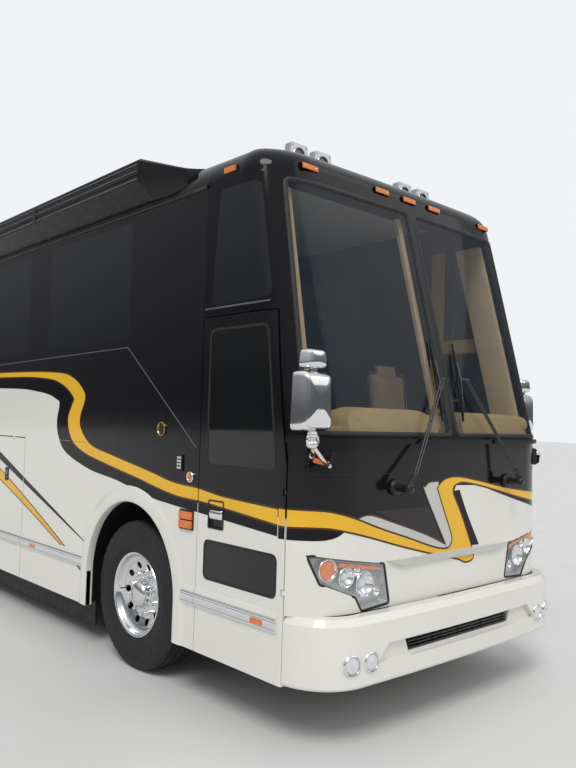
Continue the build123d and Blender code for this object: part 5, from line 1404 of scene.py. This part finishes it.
def make_mirrors():
    """The two mirrors, each with two heads, a knuckle and a forked arm on a bracket."""
    for side, word, head_d, foot_x in MIRRORS:
        heads, glass, arms, base, box_form, tint = forms(6)
        head_x = side * HEAD_X
        shell_head(heads, glass, head_x, head_d, 0.112, 0.100, 1.770, 2.090, 0.120)
        shell_head(heads, glass, head_x, head_d, 0.080, 0.064, 2.104, 2.210, 0.080)
        arms.tube([at(head_x, head_d, 2.08), at(head_x, head_d, 2.115)], 0.020, 14)
        arms.tube([at(head_x, head_d, KNUCKLE_Z), at(head_x, head_d, 1.790)], 0.019, 16)
        for z, size in ((1.752, 0.030), (KNUCKLE_Z, 0.034)):
            ball(arms, at(head_x, head_d, z), (size, size, size * 0.8), 20)
        loop = [(0.040 * math.cos(t), 0.036 * math.sin(t)) for t in turns(24)]
        arms.tube([at(head_x + a, head_d - 0.004, 1.722 + b) for a, b in loop], 0.008, 8, closed=True)
        knuckle = at(head_x, head_d, KNUCKLE_Z)
        out = front_out(side * foot_x)
        across = UP.cross(out)
        foot = front_skin(side * foot_x, BRACKET_Z)
        for shift, lift in ((-0.050, 0.030), (0.045, -0.024)):
            start = foot + across * shift + out * 0.030 + UP * lift
            bend = start.lerp(knuckle, 0.45) + out * 0.030 - UP * 0.012
            arms.tube(curved([start, bend, knuckle], 8), 0.0125, 12)
            ball(arms, start, (0.020, 0.020, 0.020), 14)
        outline = [(x, z - BRACKET_Z) for x, z in pairs(rounded(BRACKET, 0.014, 5))]
        insert = pairs(rounded(BRACKET_LAMP, 0.006, 4))

        def ring(shape, size, height):
            return [foot + across * x * size + UP * (z * size) + out * height for x, z in shape]

        for form, steps in (
            (base, ((1.0, -0.006), (1.0, 0.018), (0.95, 0.024))),
            (box_form, ((0.86, 0.020), (0.84, 0.036), (0.70, 0.046), (0.20, 0.048))),
        ):
            rings = [ring(outline, size, height) for size, height in steps]
            form.grid(rings, ring=True).face(rings[-1])
        tint.slab(ring(insert, 1.0, 0.046), ring(insert, 0.95, 0.055))
        heads.made(f"mirror_heads_{word}", chrome, replaces=["mirrors"] if side > 0 else (), sharp=40)
        glass.made(f"mirror_glass_{word}", mirror_glass, bevel=0.002)
        arms.made(f"mirror_arms_{word}", chrome, sharp=60)
        base.made(f"mirror_base_{word}", satin_black, sharp=40)
        box_form.made(f"mirror_bracket_{word}", paint_black, slot="black_plastic", sharp=50)
        tint.made(f"mirror_amber_{word}", amber, bevel=0.002)


# Wipers

# pivot, end of the arm (across and height), lower and upper end of the blade
WIPERS = ((-0.607, -0.063, 2.129, -0.121, -0.090), (0.640, 0.215, 2.139, 0.116, 0.170))
BLADE_LOW, BLADE_HIGH = 1.85, 2.385
PIVOT = [
    (-0.118, 0.050), (-0.100, 0.048), (-0.094, 0.040), (-0.092, 0.024), (-0.020, 0.022), (-0.016, 0.030),
    (0.004, 0.030), (0.012, 0.024), (0.016, 0.010), (0.017, 0.0),
]


def make_wipers():
    """The two wipers: pivots, double arms, and blades on their springs."""
    pivots, arms, blades, springs = forms(4)
    for pivot_x, arm_x, arm_z, low_x, high_x in WIPERS:
        pivot = at(pivot_x, BODY_FRONT - 0.115, 1.440)
        pivots.turned(PIVOT, pivot, FRONTWARD, 28)
        end = at(arm_x, screen_d(arm_z) - 0.038, arm_z)
        for apart in (-0.014, 0.014):
            start = pivot + Vector((apart, 0.010, 0))
            knee = start.lerp(end, 0.18) + Vector((0, -0.014, 0))
            arms.tube(curved([start, knee, end + Vector((apart, 0, 0))], 10), 0.0062, 8)
        fork = pivot.lerp(end, 0.12) + Vector((0, -0.008, 0))
        for apart in (-0.020, 0.020):
            pivots.tube([pivot + Vector((apart, 0.008, 0.01)), fork], 0.012, 10)
        arms.tube([end - Vector((0.024, 0, 0)), end + Vector((0.024, 0, 0))], 0.008, 10)
        low, high = (at(x, screen_d(z) - 0.012, z) for x, z in ((low_x, BLADE_LOW), (high_x, BLADE_HIGH)))
        centre = low.lerp(high, (arm_z - BLADE_LOW) / (BLADE_HIGH - BLADE_LOW))
        arms.tube([end, centre + FRONTWARD * 0.018], 0.008, 10)
        springs.tube([low + FRONTWARD * 0.004, high + FRONTWARD * 0.004], 0.0045, 8)
        for first, last in ((0.04, 0.46), (0.54, 0.96)):
            a, b = low.lerp(high, first), low.lerp(high, last)
            middle = a.lerp(b, 0.5) + FRONTWARD * 0.016
            springs.tube(curved([a + FRONTWARD * 0.003, middle, b + FRONTWARD * 0.003], 8), 0.005, 8)
        quarters = [low.lerp(high, share) + FRONTWARD * 0.016 for share in (0.25, 0.75)]
        arms.tube(curved([quarters[0], centre + FRONTWARD * 0.026, quarters[1]], 8), 0.0065, 8)
        wide = (high - low).normalized().cross(FRONTWARD).normalized()
        profile = ((-0.0045, 0.002), (0.0045, 0.002), (0.0015, -0.008), (-0.0015, -0.008))
        blades.grid([[p + wide * a + FRONTWARD * b for a, b in profile] for p in (low, high)], ring=True)
    arms.made("wiper_arms", wiper_metal, replaces=["wipers"], sharp=60)
    pivots.made("wiper_pivots", satin_black, sharp=50)
    springs.made("wiper_springs", satin_black, sharp=60)
    blades.made("wiper_blades", black_rubber, sharp=60)


# Rails and rear

DRIP_SECTION = [(-0.004, 3.325), (0.010, 3.328), (0.014, 3.338), (0.010, 3.352), (-0.004, 3.356)]
QUARTER_SECTION = [(-0.003, 2.520), (0.007, 2.523), (0.008, 2.531), (-0.003, 2.534)]
AWNING_START = -0.195
AWNING_LINES = (3.4975, 3.5565, 3.602)
AWNING_BRACKETS = (1.5, 3.2, 4.9, 6.6, 8.3, 10.0)


def make_awning():
    """Roller lines and brackets of the awning, and the drip rails."""
    low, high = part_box("awning")
    rail, lines, brackets = forms(3)
    for side, _ in SIDES:
        runner(rail, side, -0.825, 11.12, DRIP_SECTION)

    def on_awning(places):
        return [Vector((low.x - 0.0008, AXLE_Y + d, z)) for d, z in places]

    for z in AWNING_LINES:
        lines.tube(on_awning(((AWNING_START, z), (high.y - AXLE_Y - 0.004, z))), 0.0035, 6)
    for d in AWNING_BRACKETS:
        foot = on_awning(rect(d, 3.5545, 0.03, 0.0675))
        brackets.slab(foot, [p - ACROSS * 0.005 for p in foot])
    rail.made("drip_rails", satin_black, slot="gloss_black")
    lines.made("awning_lines", joint_line, slot="awning_black", sharp=60)
    brackets.made("awning_brackets", satin_black, slot="awning_black", bevel=0.002)


def make_quarter_trim():
    """The light rail at the foot of each quarter window."""
    rail = Form()
    for side, _ in SIDES:
        runner(rail, side, -1.475, -0.850, QUARTER_SECTION)
    rail.made("quarter_rails", dull_steel, slot="gloss_black")


TAIL_X, TAIL_Z = 0.980, (0.9935, 1.175, 1.3565)
TAIL_RING = [(0.010, 0.096), (0.026, 0.096), (0.029, 0.091), (0.027, 0.084), (0.012, 0.083)]
TOP_LAMPS = (-0.95, -0.22, 0.0, 0.22, 0.95)
LATCH_X, LATCH_Z = 0.45, 0.79
PIPE_X = 0.82


def make_rear():
    """Lamp rings, top lamps, blank plate, latches and tail pipe at the rear."""
    rings, tops, blank, latches, pipe, clear = forms(6)
    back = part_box("engine_door")[1][1]
    bumper_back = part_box("bumper_rear")[1][1]

    def upright(form, outline, low, high):
        form.slab(*([Vector((p.x, y, p.y)) for p in outline] for y in (low, high)))

    lens = [(0.0255 + 0.0012 * (k % 2), 0.083 * (1 - k / 12)) for k in range(1, 12)]
    for side, _ in SIDES:
        for z in TAIL_Z:
            centre = Vector((side * TAIL_X, back, z))
            rings.turned(TAIL_RING, centre, REARWARD, 40)
            form = clear if z == TAIL_Z[0] else tops
            form.turned([(0.022, 0.083)] + lens + [(0.027, 0.0)], centre, REARWARD, 36)
    for x in TOP_LAMPS:
        upright(tops, rounded(rect(x, 3.300, 0.06, 0.018), 0.008, 4), back - 0.060, back - 0.036)
    plate_outline = rounded(rect(0.0, 0.5575, 0.20, 0.0575), 0.012, 4)
    upright(blank, plate_outline, bumper_back - 0.002, bumper_back + 0.003)
    profile = [(-0.002, 0.030), (0.006, 0.030), (0.009, 0.026), (0.009, 0.012), (0.005, 0.0)]
    for side, _ in SIDES:
        latches.turned(profile, Vector((side * LATCH_X, back, LATCH_Z)), REARWARD, 28)
    end = at(PIPE_X, 11.775, 0.320)
    pipe.tube(curved([at(PIPE_X, 11.10, 0.44), at(PIPE_X, 11.40, 0.36), end], 8), 0.052, 20)
    pipe.turned([(0.0, 0.048), (0.012, 0.050), (0.012, 0.054), (-0.02, 0.0545)], end, REARWARD, 28)
    rings.made("tail_rings", chrome)
    tops.made("rear_red_lenses", red_lens, sharp=50)
    clear.made("rear_clear_lenses", clear_lens, sharp=50)
    blank.made("rear_blank_plate", satin_black, bevel=0.002)
    latches.made("engine_door_latches", dull_steel, "engine_door")
    pipe.made("tail_pipe", dull_steel, slot="cast")


# Cabin

SEAT_X = 0.560
SEAT_D = -0.980
SEAT_SIZES = dict(
    base=((0.47, 0.49, 0.10), 0.035, 0.022, 0.013),
    back=((0.43, 0.68, 0.085), 0.035, 0.020, 0.013),
    head=((0.24, 0.14, 0.06), 0.025, 0.014, 0.007),
    arm=((0.05, 0.30, 0.04), 0.016, 0.006, 0.008),
)
PEDESTAL = ((0.0, 0.20), (0.03, 0.20), (0.06, 0.14), (0.26, 0.13), (0.30, 0.19), (0.315, 0.19))


def pad_mesh(name, size, radius, steps=3):
    """A closed pad about the origin with rounded edges."""
    bm = bmesh.new()
    bmesh.ops.create_cube(bm, size=1.0)
    for vert in bm.verts:
        vert.co = Vector((vert.co.x * size[0], vert.co.y * size[1], vert.co.z * size[2]))
    bmesh.ops.bevel(bm, geom=bm.edges[:], offset=radius, segments=steps, affect="EDGES", profile=0.5)
    mesh = bpy.data.meshes.new(name)
    bm.to_mesh(mesh)
    bm.free()
    return mesh


def evaluated(piece):
    """A piece's mesh with its modifiers applied."""
    bpy.context.view_layer.update()
    graph = bpy.context.evaluated_depsgraph_get()
    return bpy.data.meshes.new_from_object(piece.evaluated_get(graph))


def swell(name, size, radius, cap, voxel, pressure=4.0):
    """A pad puffed up by a short cloth simulation, with each point's move capped."""
    mesh = pad_mesh(name, size, radius)
    piece = bpy.data.objects.new(name, mesh)
    scene.collection.objects.link(piece)
    remesh = piece.modifiers.new("even", "REMESH")
    remesh.mode = "VOXEL"
    remesh.voxel_size = voxel
    even = evaluated(piece)
    piece.modifiers.clear()
    piece.data = even
    rest = [v.co.copy() for v in even.vertices]
    cloth = piece.modifiers.new("cloth", "CLOTH")
    cloth.settings.use_pressure = True
    cloth.settings.uniform_pressure_force = pressure
    cloth.settings.effector_weights.gravity = 0
    cloth.settings.quality = 4
    for number in range(1, 21):
        scene.frame_set(number)
    puffed = evaluated(piece)
    moved = [v.co.copy() for v in puffed.vertices]
    piece.modifiers.clear()
    scene.frame_set(1)
    for vert, start, end in zip(even.vertices, rest, moved):
        step = end - start
        if step.length > cap:
            step = step.normalized() * cap
        vert.co = start + step
    bpy.data.objects.remove(piece)
    return even


def pad(name, mesh, place, finish, turn=0.0, scale=(1, 1, 1), replaces=(), spin=0.0):
    """A padded piece from a puffed mesh, at its place in the cabin."""
    copy = mesh.copy()
    turned = Matrix.Rotation(spin, 4, "Z") @ Matrix.Rotation(turn, 4, "X")
    copy.transform(Matrix.Translation(place) @ turned @ Matrix.Diagonal((*scale, 1)))
    copy.materials.clear()
    piece = placed(copy, name, finish, "coach", replaces=replaces, sharp=80, subdivide=1)
    return piece


def piping(form, place, half_x, half_y, turn=0.0):
    """A cord sewn round a pad's edge."""
    matrix = Matrix.Translation(place) @ Matrix.Rotation(turn, 4, "X")
    loop = rounded(rect(0, 0, half_x, half_y), 0.05)
    form.tube([matrix @ Vector((p.x, p.y, 0)) for p in loop], 0.005, 6, closed=True)


def box(form, low, high):
    """A plain block of cabinet work, bevelled when it is made."""
    a, b = at(*low), at(*high)
    corners = [(a.x, a.y), (b.x, a.y), (b.x, b.y), (a.x, b.y)]
    form.slab(*([Vector((x, y, z)) for x, y in corners] for z in (a.z, b.z)))


def make_seats():
    """Driver's and companion's seats."""
    meshes = {part: swell(f"seat_{part}_pad", *sizes) for part, sizes in SEAT_SIZES.items()}
    lean = math.radians(90 - 9)
    pedestal, cords, metal = forms(3)
    for side, word in HANDS:

        def seat_at(across, back, up):
            return at(side * SEAT_X + across, SEAT_D + back, COCKPIT_Z + up)

        old = ("seats",) if side > 0 else ()
        pad(f"seat_base_{word}", meshes["base"], seat_at(0, -0.005, 0.365), leather)
        pad(f"seat_back_{word}", meshes["back"], seat_at(0, 0.130, 0.80), leather, turn=lean, replaces=old)
        pad(f"seat_head_{word}", meshes["head"], seat_at(0, 0.175, 1.125), leather, turn=lean)
        piping(cords, seat_at(0, -0.005, 0.392), 0.240, 0.250)
        piping(cords, seat_at(0, -0.005, 0.338), 0.240, 0.250)
        piping(cords, seat_at(0, 0.107, 0.795), 0.219, 0.344, lean)
        for edge, letter in ((-1, "a"), (1, "b")):
            pad(f"seat_arm_{word}_{letter}", meshes["arm"], seat_at(edge * 0.250, -0.04, 0.625), leather)
            bar = ((0.236, 0.09, 0.40), (0.245, 0.10, 0.60), (0.250, 0.05, 0.615))
            metal.tube([seat_at(edge * across, back, up) for across, back, up in bar], 0.012, 10)
        rows = []
        for z, half in PEDESTAL:
            rows.append([seat_at(p.x, p.y, z) for p in rounded(rect(0, 0, half, half), 0.05, 5)])
        pedestal.grid(rows, ring=True).face(rows[-1])
    pedestal.made("seat_pedestals", black_plastic, sharp=40)
    cords.made("seat_piping", leather_edge, sharp=60)
    metal.made("seat_arm_bars", dull_steel, sharp=60)


PILLAR_FOOT, PILLAR_HEAD = (1.170, 1.80), (1.095, 3.28)
PILLAR_BACK = 0.085


def make_dash():
    """Padded humps on the dash, pillar trims and the cockpit's header panels."""
    for word, start, end in (("kerb", -0.945, -0.115), ("driver", 0.175, 1.115)):
        mesh = swell(f"dash_hump_{word}", (end - start - 0.03, 0.235, 0.115), 0.050, 0.016, 0.012)
        pad(f"dash_pad_{word}", mesh, at((start + end) / 2, -1.690, 1.842), tan_vinyl)
    trims, panels = forms(2)
    shares = [n / 12 for n in range(13)]
    (foot_x, foot_z), (head_x, head_z) = PILLAR_FOOT, PILLAR_HEAD
    section = ((0.010, 0.0), (-0.040, -0.020), (-0.055, 0.010), (-0.045, 0.220), (0.030, 0.230))
    for side, _ in SIDES:
        rows = []
        for share in shares:
            x, z = side * (foot_x + (head_x - foot_x) * share), foot_z + (head_z - foot_z) * share
            d = screen_skin(x, z)[0].y - AXLE_Y + PILLAR_BACK
            rows.append([at(x + side * a, d + b, z) for a, b in section])
        trims.grid(rows, ring=True)
    section = ((-0.060, 0.0), (-0.030, -0.012), (-0.020, 0.030), (-0.050, 0.040))
    heights = [foot_z + (head_z - foot_z) * share for share in shares]
    trims.grid([[at(a, screen_d(z) + PILLAR_BACK + b, z) for a, b in section] for z in heights], ring=True)
    # round the driver's windows
    box(panels, (1.196, -1.480, 2.435), (1.236, -0.900, 2.555))
    box(panels, (1.180, -0.900, 1.800), (1.236, -0.790, 3.330))
    trims.made("pillar_trims", cream_trim, sharp=50, bevel=0.004)
    panels.made("cockpit_panels", tan_vinyl, bevel=0.008)


INNER_WALL = 1.198
# low and high across, front and rear end, height over the deck
CABINETS = (
    (-INNER_WALL, -0.620, 2.60, 5.50, 0.300), (0.620, INNER_WALL, 0.20, 0.80, 0.300),
    (0.620, INNER_WALL, 1.90, 2.50, 0.300), (0.604, INNER_WALL, 3.00, 5.50, 0.860),
    (-0.740, 0.740, 8.42, 10.38, 0.300), (-0.780, 0.780, 10.40, 10.458, 0.900),
)


def make_furniture():
    """Cabinets, sofa, dinette and bed behind the cockpit."""
    unit = swell("cabin_pad", (0.90, 0.56, 0.12), 0.04, 0.022, 0.022)
    pillow = swell("bed_pillow", (0.60, 0.38, 0.07), 0.030, 0.026, 0.017)
    mattress = swell("bed_mattress", (1.48, 1.95, 0.20), 0.05, 0.016, 0.034)
    cabinets, tops = forms(2)
    for x0, x1, d0, d1, top in CABINETS:
        box(cabinets, (x0, d0, DECK_Z + 0.001), (x1, d1, DECK_Z + top))
    for d in (3.0, 3.5, 4.0, 4.5, 5.0):
        box(cabinets, (0.590, d + 0.012, DECK_Z + 0.06), (0.606, d + 0.488, DECK_Z + 0.82))
    box(tops, (0.585, 2.99, DECK_Z + 0.860), (INNER_WALL, 5.51, DECK_Z + 0.900))
    box(tops, (0.660, 0.92, DECK_Z + 0.700), (1.190, 1.78, DECK_Z + 0.730))
    box(cabinets, (0.90, 1.30, DECK_Z), (0.98, 1.40, DECK_Z + 0.700))
    for low_x, high_x in ((-1.236, -0.350), (0.350, 1.236)):
        box(cabinets, (low_x, 6.500, DECK_Z + 0.001), (high_x, 6.540, 3.345))
    cabinets.made("cabinets", wood, bevel=0.006)
    tops.made("counter_tops", stone, bevel=0.006)
    spin, lean = math.radians(90), math.radians(-78)
    for n in range(3):
        d = 2.60 + 0.483 + 0.966 * n
        seat, back = at(-0.835, d, DECK_Z + 0.360), at(-1.120, d, DECK_Z + 0.580)
        pad(f"sofa_seat_{n}", unit, seat, leather, scale=(1.02, 0.92, 1), spin=spin)
        pad(f"sofa_back_{n}", unit, back, leather, lean, (1.02, 0.70, 1), spin=spin)
    for word, d in (("front", 0.50), ("rear", 2.20)):
        pad(f"dinette_seat_{word}", unit, at(0.905, d, DECK_Z + 0.360), leather, scale=(0.60, 1.0, 1))
    pad("mattress", mattress, at(0, 9.395, DECK_Z + 0.402), linen)
    for side, word in HANDS:
        old = ("furniture",) if side > 0 else ()
        pad(f"pillow_{word}", pillow, at(side * 0.38, 10.12, DECK_Z + 0.560), linen, replaces=old)


# Floor and light


def make_floor():
    """The floor that the coach stands on."""
    mesh = bpy.data.meshes.new("floor")
    mesh.from_pydata([(x, y, 0) for x, y in rect(0, 0, 90, 90)], [], [(0, 1, 2, 3)])
    mesh.materials.append(floor_look)
    piece = bpy.data.objects.new("floor", mesh)
    scene.collection.objects.link(piece)


def make_light():
    """Soft, even studio light."""
    world = scene.world = bpy.data.worlds.new("studio")
    n = Nodes(world, "Generated")
    paths = n.tree.nodes.new("ShaderNodeLightPath").outputs
    # Reflections see a backdrop that is dimmer towards the floor
    backdrop = n.ranged(n.axes()[2], 0.04, 0.80, 0.10, 0.92)
    mirrored = n.ranged(paths["Is Glossy Ray"], 0, 1, 0.62, backdrop)
    background = n.tree.nodes["Background"].inputs
    n.link(n.ranged(paths["Is Camera Ray"], 0, 1, mirrored, 0.92), background["Strength"])
    n.link((0.95, 0.97, 1.0), background["Color"])
    for name, turn, strength, angle in (("key", (38, 0, -52), 1.35, 25), ("fill", (55, 0, 40), 0.35, 50)):
        data = bpy.data.lights.new(name, "SUN")
        data.energy, data.angle = strength, math.radians(angle)
        data.color = (1.0, 0.98, 0.95)
        lamp = bpy.data.objects.new(name, data)
        lamp.rotation_euler = [math.radians(v) for v in turn]
        scene.collection.objects.link(lamp)


make_camera()
paint_lines()
make_wheels()
make_front_lamps()
make_side_trim()
make_arches()
make_side_details()
make_entry_door()
make_screen_trim()
make_brow()
make_roof_lamps()
make_mirrors()
make_wipers()
make_awning()
make_quarter_trim()
make_rear()
make_seats()
make_dash()
make_furniture()
make_floor()
make_light()
scene.view_settings.view_transform = "Standard"
